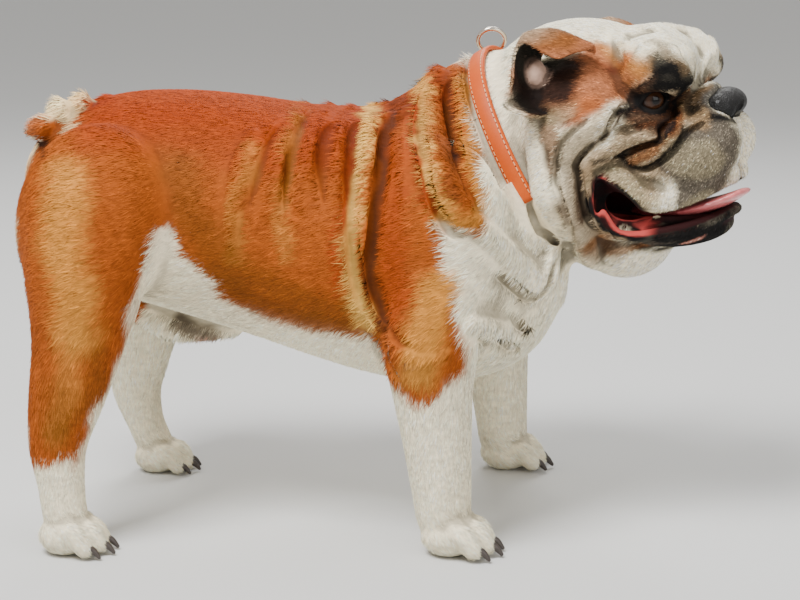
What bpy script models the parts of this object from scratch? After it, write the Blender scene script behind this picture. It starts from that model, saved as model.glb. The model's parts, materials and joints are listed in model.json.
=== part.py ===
"""A standing English bulldog at life size, in metres, as a still model.

The dog faces +X and stands on the plane z = 0. Its head is turned a little to its right, towards -Y.
"""

import math

import bmesh
import bpy
from mathutils import Euler, Matrix, Vector
from mathutils.bvhtree import BVHTree

GAP = 0.0003                       # between neighbouring pieces
CLEARANCE = 0.0013                 # round the loose pieces: ears, nose, tongue and collar
MM = 0.001

# the head's own frame: its origin low in the back of the skull, +X out through the nose
HEAD_AT = Vector((0.125, -0.012, 0.365))
HEAD_TURN = -23
FACE_CORE = Vector((0.062, 0, -0.012))
BARREL_HEIGHT = 0.27               # the line inside the trunk that body folds are measured round

EYE_AT = Vector((0.1105, 0.0475, 0.0200))
EYE_RADIUS = 0.0122
EYE_GAZE = Vector((0.643, 0.766, 0.020)).normalized()
EYE_TILT = 16
LID_OPENING = (0.0146, 0.0100)     # half width and half height

FRONT_FEET = ((-1, 0.036), (1, 0.100))   # side, and how far forward the leg stands
PAW_SINK = 0.0025

COLLAR_CORE = Vector((0.1240, -0.004, 0.330))
COLLAR_AXIS = Vector((1, -0.335, 0.600)).normalized()
COLLAR_WIDTH = 0.0165
COLLAR_THICKNESS = 0.0036
COLLAR_STEP = 6
COLLAR_REACH = 100                 # degrees either side of the nape before the band goes under the folds
RING_RADIUS = 0.0120
RING_WIRE = 0.0021
RING_LIFT = 0.0136

FINE_FACES = 15300                 # the whole skin at the head's fineness
COARSE_FACES = 7300                # and at the body's
EAR_FACES = 360
NOSE_FACES = 300
TONGUE_FACES = 260

# each fold: tube radius and how far it stands out or goes in, in millimetres, then its path.
# On the face a path is the azimuth and height, in degrees, seen from FACE_CORE.
FACE_ROLLS = {
    "nose rope": (6.8, 5.5, ((13, 27), (22, 17.5), (37.5, 9), (45, 1.5), (55.5, -8), (61.5, -11))),
    "eye pad": (6, 2.2, ((41.5, 11), (51.5, 11), (59.5, 11.5), (66.5, 10))),
    "cheek rope": (9.2, 7.2, ((50.5, 3.5), (61.5, 0.5), (72, -3), (80, -8), (84.5, -14), (82, -28),
        (78, -35.5), (71, -45), (62.5, -49.5))),
    "jowl rope": (11.2, 8.5, ((66.5, 20.5), (74, 13), (82, 7.5), (90, 2), (93.5, -5), (94.5, -14),
        (92.5, -23.5), (89, -34), (87.5, -46), (88, -63), (78.5, -67))),
    "brow arch": (6.2, 5, ((54.5, 35.5), (49.5, 39), (44, 40), (39, 37.5), (31.5, 28.5), (15, 27.5))),
    "brow outer": (7, 4.5, ((62.5, 34.5), (58.5, 39.5), (53, 44), (46, 46))),
    "flew rim": (6, 3, ((77.5, -17), (71, -21.5), (65, -28), (52.5, -38.5), (36.5, -34.5), (28.5, -31),
        (4.5, -32))),
    "nose roll": (5.6, 5, ((21, 12), (11.5, 18), (4, 22.5), (1.5, 18.5))),
    "temple fold": (7, 4.5, ((64.5, 68), (62.5, 49), (61.5, 40.5), (61.5, 34.5))),
    "brow middle": (6, 4, ((29, 42), (25.5, 37), (9.5, 34.5), (10.5, 29.5))),
    "forehead roll": (7, 4, ((27, 70), (20.5, 63), (38.5, 46))),
    "chin fold": (4.5, 2.2, ((42.5, -13), (44, -17.5), (39.5, -21.5), (34, -22), (29.5, -20))),
}
FACE_CREASES = {
    "lid crease": (2.2, 3, ((47.5, 32), (52, 31), (55, 29.5), (58.5, 26.5))),
    "cheek crease": (3.2, 7.4, ((58.5, 26.5), (66.5, 18), (72, 9.5), (75.5, 3.5), (82.5, -2.5))),
    "cheek crease low": (3.6, 8, ((75.5, 4), (87, -7.5), (87.5, -13.5), (84, -29), (81, -37),
        (74.5, -43.5))),
    "tear crease": (3, 7.4, ((30, 26), (24.5, 20.5), (37.5, 13), (45, 6.5), (48.5, 1.5), (59, -5.5),
        (68, -8), (77, -8.5))),
    "pad crease": (2, 3.6, ((74.5, 3.5), (65, 5.5), (55, 7), (48.5, 7.5))),
    "flew crease": (3.2, 7.4, ((21, 11), (27.5, 7.5), (34.5, 5), (41.5, -2), (46.5, -8), (55, -15.5),
        (71, -10.5))),
    "jowl back crease": (4, 8, ((79.5, 13.5), (87.5, 8), (95, -0.5), (98, -15), (96, -22), (93.5, -30),
        (93, -40.5), (110.5, -65.5))),
    "nose roll crease": (1.8, 3.8, ((18.5, 11.5), (10.5, 16), (5.5, 19), (1.5, 21))),
    "brow crease": (2.2, 4.2, ((57, 36.5), (51.5, 40), (45, 42.5), (38, 40.5), (35, 34.5), (27, 30.5),
        (15, 26.5))),
    "brow crease 2": (2.2, 3.6, ((68, 36), (63, 40), (57.5, 45.5), (51, 49.5))),
    "brow crease 3": (2.4, 4.2, ((5.5, 43.5), (18.5, 35.5), (11.5, 32.5), (11.5, 29))),
}
# On the body it is millimetres along the trunk and degrees down from the back.
BODY_ROLLS = {
    "ruff": (17, 14.5, ((34, 10), (25, 27), (26, 47), (30, 66), (51, 80), (62, 82))),
    "shoulder roll": (11.5, 6.5, ((17, 23), (-16, 30), (-23, 36), (-25, 58), (-29, 83), (-29, 94),
        (-21, 114), (-16, 118))),
    "shoulder roll 2": (13, 4.5, ((13, 20), (5, 42), (3, 62), (2, 74))),
    "rib roll 1": (12, 5.5, ((-41, -5), (-50, 42), (-51, 61), (-50, 74))),
    "rib roll 2": (12, 5.5, ((-62, 20), (-73, 50), (-78, 64), (-81, 77))),
    "rib roll 3": (12, 5.5, ((-89, 30), (-98, 54), (-105, 67), (-108, 79))),
    "rib roll 4": (12, 5.5, ((-123, 43), (-131, 59), (-136, 73), (-140, 92))),
    "breast roll 1": (20, 12, ((70, 85), (103, 103), (112, 110), (124, 107), (130, 100))),
    "breast roll 2": (15, 9, ((60, 112), (91, 127), (99, 130), (111, 124))),
    "neck roll": (16, 10, ((110, 42), (116, 62), (122, 76), (141, 97))),
    "elbow roll": (10, 4, ((-9, 116), (0, 119), (18, 118), (39, 117))),
}
BODY_CREASES = {
    "ruff crease": (6, 7.5, ((26, 16), (17, 30), (15, 45), (18, 63), (21, 72), (42, 85), (57, 86))),
    "ruff front": (6, 7.5, ((49, 13), (42, 23), (46, 47), (49, 62), (58, 76))),
    "shoulder crease": (6, 5, ((8, 3), (-6, 29), (-11, 46), (-14, 63), (-17, 75), (-23, 96), (-19, 105),
        (-12, 112), (0, 115), (14, 115))),
    "shoulder back": (6, 4, ((-23, 30), (-35, 32), (-39, 54), (-40, 71), (-40, 83), (-34, 104),
        (-27, 113), (-17, 118))),
    "rib crease 1": (7, 5, ((-47, 31), (-57, 35), (-61, 52), (-63, 66), (-61, 77))),
    "rib crease 2": (7, 5, ((-74, 13), (-83, 41), (-89, 55), (-95, 79))),
    "rib crease 3": (7, 4, ((-100, 35), (-112, 54), (-119, 67), (-125, 77))),
    "breast crease 1": (5.5, 8, ((78, 99), (92, 106), (115, 114), (131, 106), (134, 99))),
    "breast crease 2": (5, 7, ((60, 115), (77, 125), (88, 129), (100, 138), (111, 133))),
    "breast crease 3": (5, 5, ((91, 117), (102, 124), (114, 134))),
    "neck crease": (5, 7, ((101, 68), (116, 85), (129, 92), (146, 108))),
    "neck front crease": (5, 7, ((129, 71), (137, 83), (143, 91), (147, 105))),
    "elbow back": (5, 5, ((-13, 113), (-14, 119), (-11, 124), (0, 126))),
}

# root, bend and free edge of the ear's leather, from its front root round to its tip
EAR = (
    ((0.070, 0.068, 0.058), (0.074, 0.084, 0.069), (0.072, 0.087, 0.063)),
    ((0.058, 0.068, 0.062), (0.057, 0.090, 0.082), (0.059, 0.099, 0.059)),
    ((0.046, 0.069, 0.066), (0.040, 0.092, 0.092), (0.049, 0.107, 0.055)),
    ((0.036, 0.071, 0.066), (0.027, 0.092, 0.093), (0.037, 0.110, 0.060)),
    ((0.028, 0.073, 0.060), (0.013, 0.094, 0.085), (0.023, 0.112, 0.068)),
    ((0.024, 0.075, 0.052), (0.009, 0.096, 0.066), (0.0155, 0.114, 0.061)),
    ((0.024, 0.077, 0.042), (0.009, 0.100, 0.048), (0.0147, 0.118, 0.049)),
    ((0.026, 0.078, 0.032), (0.012, 0.104, 0.032), (0.015, 0.122, 0.035)),
    ((0.030, 0.079, 0.022), (0.017, 0.107, 0.017), (0.010, 0.127, 0.019)),
    ((0.036, 0.080, 0.016), (0.028, 0.106, 0.006), (0.024, 0.121, 0.012)),
    ((0.042, 0.080, 0.016), (0.040, 0.098, 0.006), (0.035, 0.112, 0.011)),
)
EAR_THICKNESS = 0.0044

# the gap between the lips and the rim of the lower lip, from the corner to the front: x, y, z, radius
MOUTH = (
    (0.0830, 0.094, -0.0480, 0.0050), (0.0875, 0.091, -0.0600, 0.0125), (0.0960, 0.086, -0.0710, 0.0145),
    (0.1080, 0.079, -0.0790, 0.0110), (0.1235, 0.072, -0.0805, 0.0080), (0.1400, 0.062, -0.0775, 0.0080),
    (0.1570, 0.047, -0.0710, 0.0088), (0.1720, 0.025, -0.0625, 0.0100), (0.1780, 0.000, -0.0580, 0.0110),
)
LOWER_LIP = (
    (0.0860, 0.0940, -0.0700, 0.0040), (0.0960, 0.0885, -0.0870, 0.0050), (0.1100, 0.0790, -0.0905, 0.0055),
    (0.1240, 0.0690, -0.0890, 0.0055), (0.1390, 0.0590, -0.0860, 0.0055), (0.1550, 0.0455, -0.0820, 0.0055),
    (0.1680, 0.0260, -0.0770, 0.0055), (0.1730, 0.0000, -0.0745, 0.0055),
)


def head_frame():
    return Matrix.Translation(HEAD_AT) @ Matrix.Rotation(math.radians(HEAD_TURN), 4, "Z")


class Clay:
    """Closed shapes gathered in one mesh, to be fused into one skin."""

    def __init__(self, place=None):
        self.mesh = bmesh.new()
        self.place = place or Matrix.Identity(4)

    def ball(self, at, size, turn=(0, 0, 0), rounds=4):
        turned = Euler([math.radians(a) for a in turn]).to_matrix().to_4x4()
        where = self.place @ Matrix.Translation(at) @ turned @ Matrix.Diagonal((*size, 1.0))
        bmesh.ops.create_icosphere(self.mesh, subdivisions=rounds, radius=1.0, matrix=where)

    def pair(self, at, size, turn=(0, 0, 0), rounds=4):
        for side in (1, -1):
            self.ball((at[0], at[1] * side, at[2]), size, (turn[0] * side, turn[1], turn[2] * side), rounds)

    def skinned(self, rings):
        made = [[self.mesh.verts.new(self.place @ point) for point in ring] for ring in rings]
        count = len(made[0])
        for one, two in zip(made, made[1:]):
            for k in range(count):
                j = (k + 1) % count
                self.mesh.faces.new((one[k], one[j], two[j], two[k]))
        self.mesh.faces.new(made[0][::-1])
        self.mesh.faces.new(made[-1])

    def rope(self, stations, wide=1.0, facing=(0, 0, 1), sides=14, steps=5):
        """A round-ended tube through stations of x, y, z and radius; wide stretches it across facing."""
        path = smooth_path([Vector(s) for s in stations], steps)
        points, radii = rounded_ends([Vector(p[:3]) for p in path], [p[3] for p in path])
        face = Vector(facing)
        rings = []
        for i, (point, radius) in enumerate(zip(points, radii)):
            along = (points[min(i + 1, len(points) - 1)] - points[max(i - 1, 0)]).normalized()
            high = (face - along * face.dot(along)).normalized()
            across = along.cross(high)
            rings.append([point + across * (math.cos(a) * radius * wide) + high * (math.sin(a) * radius)
                          for a in (math.tau * k / sides for k in range(sides))])
        self.skinned(rings)

    def ropes(self, stations, facing=(0, 0, 1), **how):
        for side in (1, -1):
            mirrored = [(x, y * side, z, r) for x, y, z, r in stations]
            self.rope(mirrored, facing=(facing[0], facing[1] * side, facing[2]), **how)

    def loft(self, stations, sides=32, steps=5, power=2.3):
        """A rounded-box tube through stations of x, top, bottom and half width."""
        rings = []
        for x, top, bottom, half in smooth_path([Vector(s) for s in stations], steps):
            middle = (top + bottom) / 2
            ring = []
            for k in range(sides):
                a = math.tau * k / sides
                u = math.copysign(abs(math.cos(a)) ** (2 / power), math.cos(a))
                v = math.copysign(abs(math.sin(a)) ** (2 / power), math.sin(a))
                ring.append(Vector((x, u * half, middle + v * (top - middle))))
            rings.append(ring)
        self.skinned(rings)

    def object(self, name):
        bmesh.ops.recalc_face_normals(self.mesh, faces=self.mesh.faces)
        mesh = bpy.data.meshes.new(name)
        self.mesh.to_mesh(mesh)
        self.mesh.free()
        obj = bpy.data.objects.new(name, mesh)
        bpy.context.scene.collection.objects.link(obj)
        return obj

    def fused(self, name, voxel, rounds):
        return fuse(self.object(name), voxel, rounds)


def smooth_path(points, steps):
    """Points along a smooth curve through the ones given."""
    out = []
    last = len(points) - 1
    for i in range(last):
        two, three = points[i], points[i + 1]
        one = points[i - 1] if i else two * 2 - three
        four = points[i + 2] if i + 2 <= last else three * 2 - two
        for k in range(steps):
            t = k / steps
            out.append(0.5 * (2 * two + (three - one) * t + (2 * one - 5 * two + 4 * three - four) * t * t
                              + (3 * two - one - 3 * three + four) * t ** 3))
    out.append(points[-1])
    return out


def rounded_ends(points, radii, count=4):
    """The path with a half-ball of narrowing stations at each end."""
    start, end = [], []
    for at, step, cap in ((0, 1, start), (-1, -1, end)):
        out = (points[at] - points[at + step]).normalized()
        for k in range(1, count + 1):
            a = math.pi / 2 * k / (count + 0.3)
            cap.append((points[at] + out * (math.sin(a) * radii[at]), radii[at] * math.cos(a)))
    caps = start[::-1] + list(zip(points, radii)) + end
    return [c[0] for c in caps], [c[1] for c in caps]


def plain(obj):
    """The object with its modifiers applied."""
    graph = bpy.context.evaluated_depsgraph_get()
    mesh = bpy.data.meshes.new_from_object(obj.evaluated_get(graph))
    name, old = obj.name, obj.data
    bpy.data.objects.remove(obj)
    bpy.data.meshes.remove(old)
    out = bpy.data.objects.new(name, mesh)
    bpy.context.scene.collection.objects.link(out)
    return out


def fuse(obj, voxel, rounds):
    """One closed skin round everything in the object, softened."""
    remesh = obj.modifiers.new("fuse", "REMESH")
    remesh.mode = "VOXEL"
    remesh.voxel_size = voxel
    remesh.use_smooth_shade = True
    if rounds:
        soften = obj.modifiers.new("soften", "SMOOTH")
        soften.factor = 0.5
        soften.iterations = rounds
    return plain(obj)


def closed(obj):
    mesh = bmesh.new()
    mesh.from_mesh(obj.data)
    good = all(len(edge.link_faces) == 2 for edge in mesh.edges) and all(v.is_manifold for v in mesh.verts)
    mesh.free()
    return good


def reduced(obj, faces):
    """The object in about so many triangles, still closed."""
    obj.modifiers.new("triangles", "TRIANGULATE")
    obj = plain(obj)
    for extra in range(0, 400, 40):
        out = copied(obj, obj.name)
        simplify = out.modifiers.new("simplify", "DECIMATE")
        simplify.ratio = min(1.0, (faces + extra) / len(obj.data.polygons))
        out = plain(out)
        if closed(out):
            break
        bpy.data.objects.remove(out)
    bpy.data.objects.remove(obj)
    return out


def joined(obj, tool, operation, solver="MANIFOLD"):
    """The object after a Boolean with a tool, which stays."""
    boolean = obj.modifiers.new("cut", "BOOLEAN")
    boolean.operation = operation
    boolean.solver = solver
    boolean.object = tool
    return plain(obj)


def copied(obj, name):
    out = bpy.data.objects.new(name, obj.data.copy())
    bpy.context.scene.collection.objects.link(out)
    return out


def largest(obj):
    """The object without any but its largest closed surface."""
    mesh = bmesh.new()
    mesh.from_mesh(obj.data)
    mesh.faces.ensure_lookup_table()
    left, groups = set(mesh.faces), []
    while left:
        seed = left.pop()
        group, queue = {seed}, [seed]
        while queue:
            for edge in queue.pop().edges:
                for face in edge.link_faces:
                    if face in left:
                        left.remove(face)
                        group.add(face)
                        queue.append(face)
        groups.append(group)
    groups.sort(key=lambda g: sum(f.calc_area() for f in g))
    small = [face for group in groups[:-1] for face in group]
    bmesh.ops.delete(mesh, geom=small, context="FACES")
    mesh.to_mesh(obj.data)
    mesh.free()
    return obj


def grown(obj, by):
    out = copied(obj, "grown")
    push = out.modifiers.new("push", "DISPLACE")
    push.strength = by
    push.mid_level = 0
    return plain(out)


def keep_clear(obj, faces):
    """A tool a little larger than the object, for cutting its neighbours back."""
    return reduced(fuse(grown(obj, CLEARANCE), 0.0016, 0), faces)


def trimmed(obj, tools):
    for tool in tools:
        obj = joined(obj, tool, "DIFFERENCE")
    return largest(obj)


def trunk(clay):
    clay.loft((
        (-0.330, 0.325, 0.280, 0.030),
        (-0.315, 0.348, 0.238, 0.066),
        (-0.285, 0.370, 0.214, 0.092),
        (-0.240, 0.383, 0.200, 0.106),
        (-0.185, 0.385, 0.183, 0.106),
        (-0.130, 0.380, 0.166, 0.118),
        (-0.075, 0.372, 0.148, 0.136),
        (-0.020, 0.370, 0.132, 0.143),
        (0.035, 0.376, 0.125, 0.140),
        (0.085, 0.372, 0.133, 0.128),
        (0.122, 0.350, 0.156, 0.104),
        (0.148, 0.310, 0.198, 0.064),
    ))


def neck(clay):
    clay.rope([(0.020, 0, 0.286, 0.092), (0.055, 0, 0.304, 0.094), (0.092, -0.003, 0.326, 0.094),
               (0.125, -0.012, 0.338, 0.088), (0.160, -0.024, 0.350, 0.070)], sides=24)


def front_leg(clay, side, x):
    y = 0.128 * side
    clay.ball((x - 0.005, 0.112 * side, 0.262), (0.066, 0.047, 0.092), (0, 12, 0))
    clay.rope([(x - 0.006, 0.118 * side, 0.235, 0.0490), (x - 0.010, y, 0.190, 0.0455), (x - 0.009, y, 0.150, 0.0375),
               (x - 0.005, y, 0.105, 0.0320), (x - 0.001, y, 0.060, 0.0280), (x + 0.001, y, 0.034, 0.0260)],
              facing=(1, 0, 0))


def hind_legs(clay):
    clay.ball((-0.259, -0.088, 0.280), (0.068, 0.047, 0.086), (0, 10, 0))
    clay.rope([(-0.266, -0.095, 0.290, 0.0550), (-0.266, -0.105, 0.235, 0.0530), (-0.273, -0.112, 0.180, 0.0415),
               (-0.283, -0.118, 0.135, 0.0345), (-0.291, -0.121, 0.096, 0.0275), (-0.289, -0.124, 0.058, 0.0220),
               (-0.286, -0.126, 0.030, 0.0215)], wide=0.88, facing=(1, 0, 0))
    clay.ball((-0.250, 0.085, 0.275), (0.068, 0.047, 0.088), (0, -12, 0))
    clay.rope([(-0.254, 0.090, 0.280, 0.0530), (-0.248, 0.100, 0.225, 0.0500), (-0.246, 0.108, 0.165, 0.0400),
               (-0.252, 0.112, 0.120, 0.0320), (-0.256, 0.116, 0.084, 0.0260), (-0.249, 0.118, 0.052, 0.0205),
               (-0.241, 0.120, 0.030, 0.0200)], wide=0.88, facing=(1, 0, 0))


def tail(clay):
    """The root of a short screw tail that lies over the rump."""
    clay.rope([(-0.240, 0.000, 0.3540, 0.0220), (-0.262, -0.009, 0.3600, 0.0165), (-0.284, -0.025, 0.3610, 0.0130),
               (-0.303, -0.040, 0.3560, 0.0105)])


def tail_turns(clay):
    """The three turns of the tail and the ridge ahead of them."""
    clay.ball((-0.258, -0.010, 0.3680), (0.0190, 0.0130, 0.0140), (0, -20, 30))
    clay.ball((-0.2790, -0.024, 0.3715), (0.0118, 0.0160, 0.0150), (0, 20, 30))
    clay.ball((-0.2950, -0.034, 0.3675), (0.0112, 0.0150, 0.0150), (0, 0, 30))
    clay.ball((-0.3085, -0.045, 0.3560), (0.0148, 0.0140, 0.0125), (0, -20, 30))


def skull(clay):
    clay.ball((0.038, 0, 0.022), (0.084, 0.082, 0.0620))
    clay.ball((0.094, 0, 0.042), (0.046, 0.056, 0.0385))
    clay.pair((0.114, 0.043, 0.046), (0.033, 0.030, 0.030))
    clay.pair((0.050, 0.066, -0.006), (0.050, 0.038, 0.058))
    clay.pair((0.100, 0.048, 0.002), (0.024, 0.024, 0.018))
    clay.pair(EYE_AT, (EYE_RADIUS + 0.0022,) * 3)
    # muzzle and flews
    clay.ball((0.122, 0, 0.002), (0.044, 0.030, 0.030))
    clay.pair((0.128, 0.034, -0.028), (0.049, 0.039, 0.037))
    clay.pair((0.152, 0.024, -0.017), (0.034, 0.027, 0.031))
    # cheeks, lower jaw and dewlap
    clay.ball((0.090, 0, -0.040), (0.060, 0.076, 0.040))
    clay.pair((0.060, 0.064, -0.052), (0.042, 0.038, 0.052))
    clay.ball((0.112, 0, -0.086), (0.062, 0.070, 0.024))
    clay.ball((0.066, 0, -0.090), (0.046, 0.068, 0.046))
    clay.ball((0.080, 0, -0.100), (0.042, 0.058, 0.041))


def paw(clay, x, y, turn, size):
    """Four toes ahead of a pad, with a claw on each."""
    hold = clay.place
    clay.place = (hold @ Matrix.Translation((x, y, -PAW_SINK)) @ Matrix.Rotation(math.radians(turn), 4, "Z")
                  @ Matrix.Scale(size, 4))
    clay.ball((0.002, 0, 0.020), (0.026, 0.027, 0.020))
    for toe_x, toe_y in ((0.022, -0.0225), (0.032, -0.0080), (0.032, 0.0080), (0.022, 0.0225)):
        clay.rope([(0.004, toe_y * 0.6, 0.0270, 0.0120), (toe_x - 0.008, toe_y * 0.95, 0.0255, 0.0114),
                   (toe_x + 0.001, toe_y, 0.0140, 0.0102)], sides=12, steps=3)
    clay.place = hold


def claws(clay, x, y, turn, size):
    hold = clay.place
    clay.place = (hold @ Matrix.Translation((x, y, -PAW_SINK)) @ Matrix.Rotation(math.radians(turn), 4, "Z")
                  @ Matrix.Scale(size, 4))
    for toe_x, toe_y in ((0.022, -0.0225), (0.032, -0.0080), (0.032, 0.0080), (0.022, 0.0225)):
        clay.rope([(toe_x + 0.002, toe_y, 0.0150, 0.0040), (toe_x + 0.010, toe_y * 1.03, 0.0120, 0.0034),
                   (toe_x + 0.0155, toe_y * 1.06, 0.0060, 0.0018)], sides=8, steps=3)
    clay.place = hold


PAWS = ((0.040, -0.130, -6, 1.0), (0.102, 0.130, 8, 1.0), (-0.288, -0.126, -4, 0.94), (-0.240, 0.120, 4, 0.90))


def tree_of(obj):
    mesh = bmesh.new()
    mesh.from_mesh(obj.data)
    tree = BVHTree.FromBMesh(mesh)
    mesh.free()
    return tree


def on_face(tree, azimuth, height, side):
    """The skin's point and normal in a direction from the core of the face."""
    a, h = math.radians(azimuth), math.radians(height)
    frame = head_frame()
    out = frame.to_3x3() @ Vector((math.cos(a) * math.cos(h), side * math.sin(a) * math.cos(h), math.sin(h)))
    return tree.ray_cast(frame @ FACE_CORE + out * 0.3, -out)[:2]


def on_body(tree, x, angle, side):
    """The skin's point and normal at x millimetres along the trunk, angle degrees down from the back."""
    a = math.radians(angle)
    out = Vector((0, side * math.sin(a), math.cos(a)))
    axis = Vector((x * MM, 0, BARREL_HEIGHT))
    hit = tree.ray_cast(axis + out * 0.4, -out)
    return hit[:2] if hit[0] else tree.find_nearest(axis + out * 0.13)[:2]


def folds(clay, tree, table, find, raised):
    """A tube along each fold's path, standing out of the skin or sunk in it, on both sides."""
    ends = (0.6, 0.9) if raised else (0.25, 0.8)
    narrow = 1.0 if raised or find is on_body else 0.65
    for radius, height, path in table.values():
        for side in (-1, 1):
            found = [find(tree, a, b, side) for a, b in path]
            stations = []
            for k, (point, normal) in enumerate(found):
                share = (*ends, 1.0)[min(k, len(found) - 1 - k, 2)]
                r, h = radius * share * MM / narrow, height * share * MM
                stations.append((*(point + normal * (h - r if raised else r - h)), r))
            facing = sum((normal for point, normal in found), Vector()).normalized()
            clay.rope(stations, facing=facing, sides=12, wide=narrow)


def mirrored(stations):
    """Stations from the right corner round the front to the left corner."""
    return [(x, -y, z, r) for x, y, z, r in stations] + list(stations[-2::-1])


def eye_axes(side):
    eye = Vector((EYE_AT.x, EYE_AT.y * side, EYE_AT.z))
    gaze = Vector((EYE_GAZE.x, EYE_GAZE.y * side, EYE_GAZE.z))
    outer = gaze.cross(Vector((0, 0, 1))).normalized() * -side
    return eye, gaze, outer, gaze.cross(outer).normalized() * side


def lid_point(side, across, up, reach):
    """A point over the eye, across and up in radians from its gaze, in the tilted lids' own directions."""
    eye, gaze, outer, rise = eye_axes(side)
    tilt = math.radians(-EYE_TILT)
    h = across * math.cos(tilt) - up * math.sin(tilt)
    v = across * math.sin(tilt) + up * math.cos(tilt)
    return eye + (gaze * math.cos(h) * math.cos(v) + outer * math.sin(h) * math.cos(v) + rise * math.sin(v)) * reach


def lids(clay):
    for side in (1, -1):
        for lift, radius in ((40, 0.0027), (-38, 0.0023)):
            stations = []
            for k in range(9):
                across = math.radians(-70 + 140 * k / 8)
                up = math.radians(lift) * math.sin(math.pi * k / 8)
                stations.append((*lid_point(side, across, up, EYE_RADIUS + 0.0014), radius))
            clay.rope(stations, facing=eye_axes(side)[1], sides=10, steps=3)


def eye_openings(clay):
    """The ball of each eye and the almond between its lids."""
    hold = clay.place
    for side in (1, -1):
        eye, gaze, outer, rise = eye_axes(side)
        clay.ball(eye, (EYE_RADIUS + GAP,) * 3)
        axes = Matrix((outer * side, rise, gaze)).transposed().to_4x4()
        clay.place = hold @ Matrix.Translation(eye + gaze * EYE_RADIUS * 0.9) @ axes
        clay.ball((0, 0, 0), (*LID_OPENING, 0.012), (0, 0, -EYE_TILT * side))
        clay.place = hold


def mouth(clay):
    clay.rope(mirrored(MOUTH), wide=1.2)
    clay.ball((0.105, 0, -0.068), (0.066, 0.072, 0.013))
    clay.pair((0.098, 0.056, -0.064), (0.020, 0.026, 0.016))


def collar_ring(tree, angle):
    """The skin's point under the collar, and the way out from it, at an angle from the nape."""
    rise = (Vector((0, 0, 1)) - COLLAR_AXIS * COLLAR_AXIS.z).normalized()
    across = COLLAR_AXIS.cross(rise)
    a = math.radians(angle)
    out = rise * math.cos(a) + across * math.sin(a)
    return tree.ray_cast(COLLAR_CORE + out * 0.25, -out)[0], out


def collar_radii(tree):
    """The collar's distance from its core at each step round the neck from the nape, evened out."""
    count = 360 // COLLAR_STEP
    found = [collar_ring(tree, COLLAR_STEP * k) for k in range(count)]
    radii = [(point - COLLAR_CORE).dot(out) for point, out in found]
    for sweep in range(14):
        radii = [(radii[k - 1] + 2 * radii[k] + radii[(k + 1) % count]) / 4 for k in range(count)]
    return radii


def collar_strip(tree, reach, low, high, half_low, half_high):
    """A strap round the neck between two heights above the skin."""
    clay = Clay()
    radii = collar_radii(tree)
    rings = []
    for k in range(-int(reach / COLLAR_STEP), int(reach / COLLAR_STEP) + 1):
        out = collar_ring(tree, COLLAR_STEP * k)[1]
        point = COLLAR_CORE + out * radii[k]
        rings.append([point + out * h + COLLAR_AXIS * w for h, w in
                      ((low, -half_low), (high, -half_high), (high, half_high), (low, half_low))])
    clay.skinned(rings)
    return clay


def masses():
    """The body's large forms as one soft skin."""
    clay = Clay()
    trunk(clay)
    neck(clay)
    for side, x in FRONT_FEET:
        front_leg(clay, side, x)
    hind_legs(clay)
    tail(clay)
    clay.place = head_frame()
    skull(clay)
    return clay.fused("masses", 0.004, 10)


def whole():
    """The dog's whole skin, and the smooth form that its collar is laid on."""
    base = masses()
    tree = tree_of(base)
    clay = Clay()
    clay.mesh.from_mesh(base.data)
    folds(clay, tree, BODY_ROLLS, on_body, True)
    folds(clay, tree, FACE_ROLLS, on_face, True)
    for where in PAWS:
        paw(clay, *where)
    tail_turns(clay)
    # belly skin ahead of the hind legs
    clay.rope([(-0.235, 0, 0.195, 0.020), (-0.205, 0, 0.176, 0.019), (-0.180, 0, 0.172, 0.016), (-0.150, 0, 0.172, 0.012)])
    clay.place = head_frame()
    # roll of skin behind the nose
    clay.rope([(0.141, -0.025, 0.007, 0.0075), (0.1485, -0.015, 0.0205, 0.0083), (0.151, 0, 0.0248, 0.0085),
               (0.1485, 0.015, 0.0205, 0.0083), (0.141, 0.025, 0.007, 0.0075)], facing=(1, 0, 1))
    clay.pair(EYE_AT, (EYE_RADIUS + 0.0030,) * 3)
    clay.ropes([(x, y - 0.0045, z + r + 0.0090, 0.0135) for x, y, z, r in MOUTH[2:8]], wide=0.58)
    skin = clay.fused("rolls", 0.002, 5)

    cutter = Clay()
    rolls = tree_of(skin)
    folds(cutter, rolls, BODY_CREASES, on_body, False)
    folds(cutter, rolls, FACE_CREASES, on_face, False)
    cutter.place = head_frame()
    eye_openings(cutter)
    mouth(cutter)
    tool = cutter.fused("creases", 0.0014, 0)
    skin = joined(skin, tool, "DIFFERENCE")
    bpy.data.objects.remove(tool)
    clay = Clay(head_frame())
    clay.mesh.from_mesh(skin.data)
    bpy.data.objects.remove(skin)
    clay.rope(mirrored(LOWER_LIP))
    clay.pair((0.0235, 0.086, 0.042), (0.008, 0.013, 0.012))
    skin = clay.fused("soft", 0.0018, 4)
    half = COLLAR_WIDTH / 2
    channel = collar_strip(tree, COLLAR_REACH, -0.0022, 0.026, half + 0.0022, half + 0.007).object("channel")
    skin = joined(skin, channel, "DIFFERENCE")
    bpy.data.objects.remove(channel)
    clay = Clay(head_frame())
    clay.mesh.from_mesh(skin.data)
    bpy.data.objects.remove(skin)
    lids(clay)
    clay.place = Matrix.Identity(4)
    for where in PAWS:
        claws(clay, *where)
    skin = clay.fused("skin", 0.0017, 1)
    bpy.data.objects.remove(base)
    return skin, tree


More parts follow.
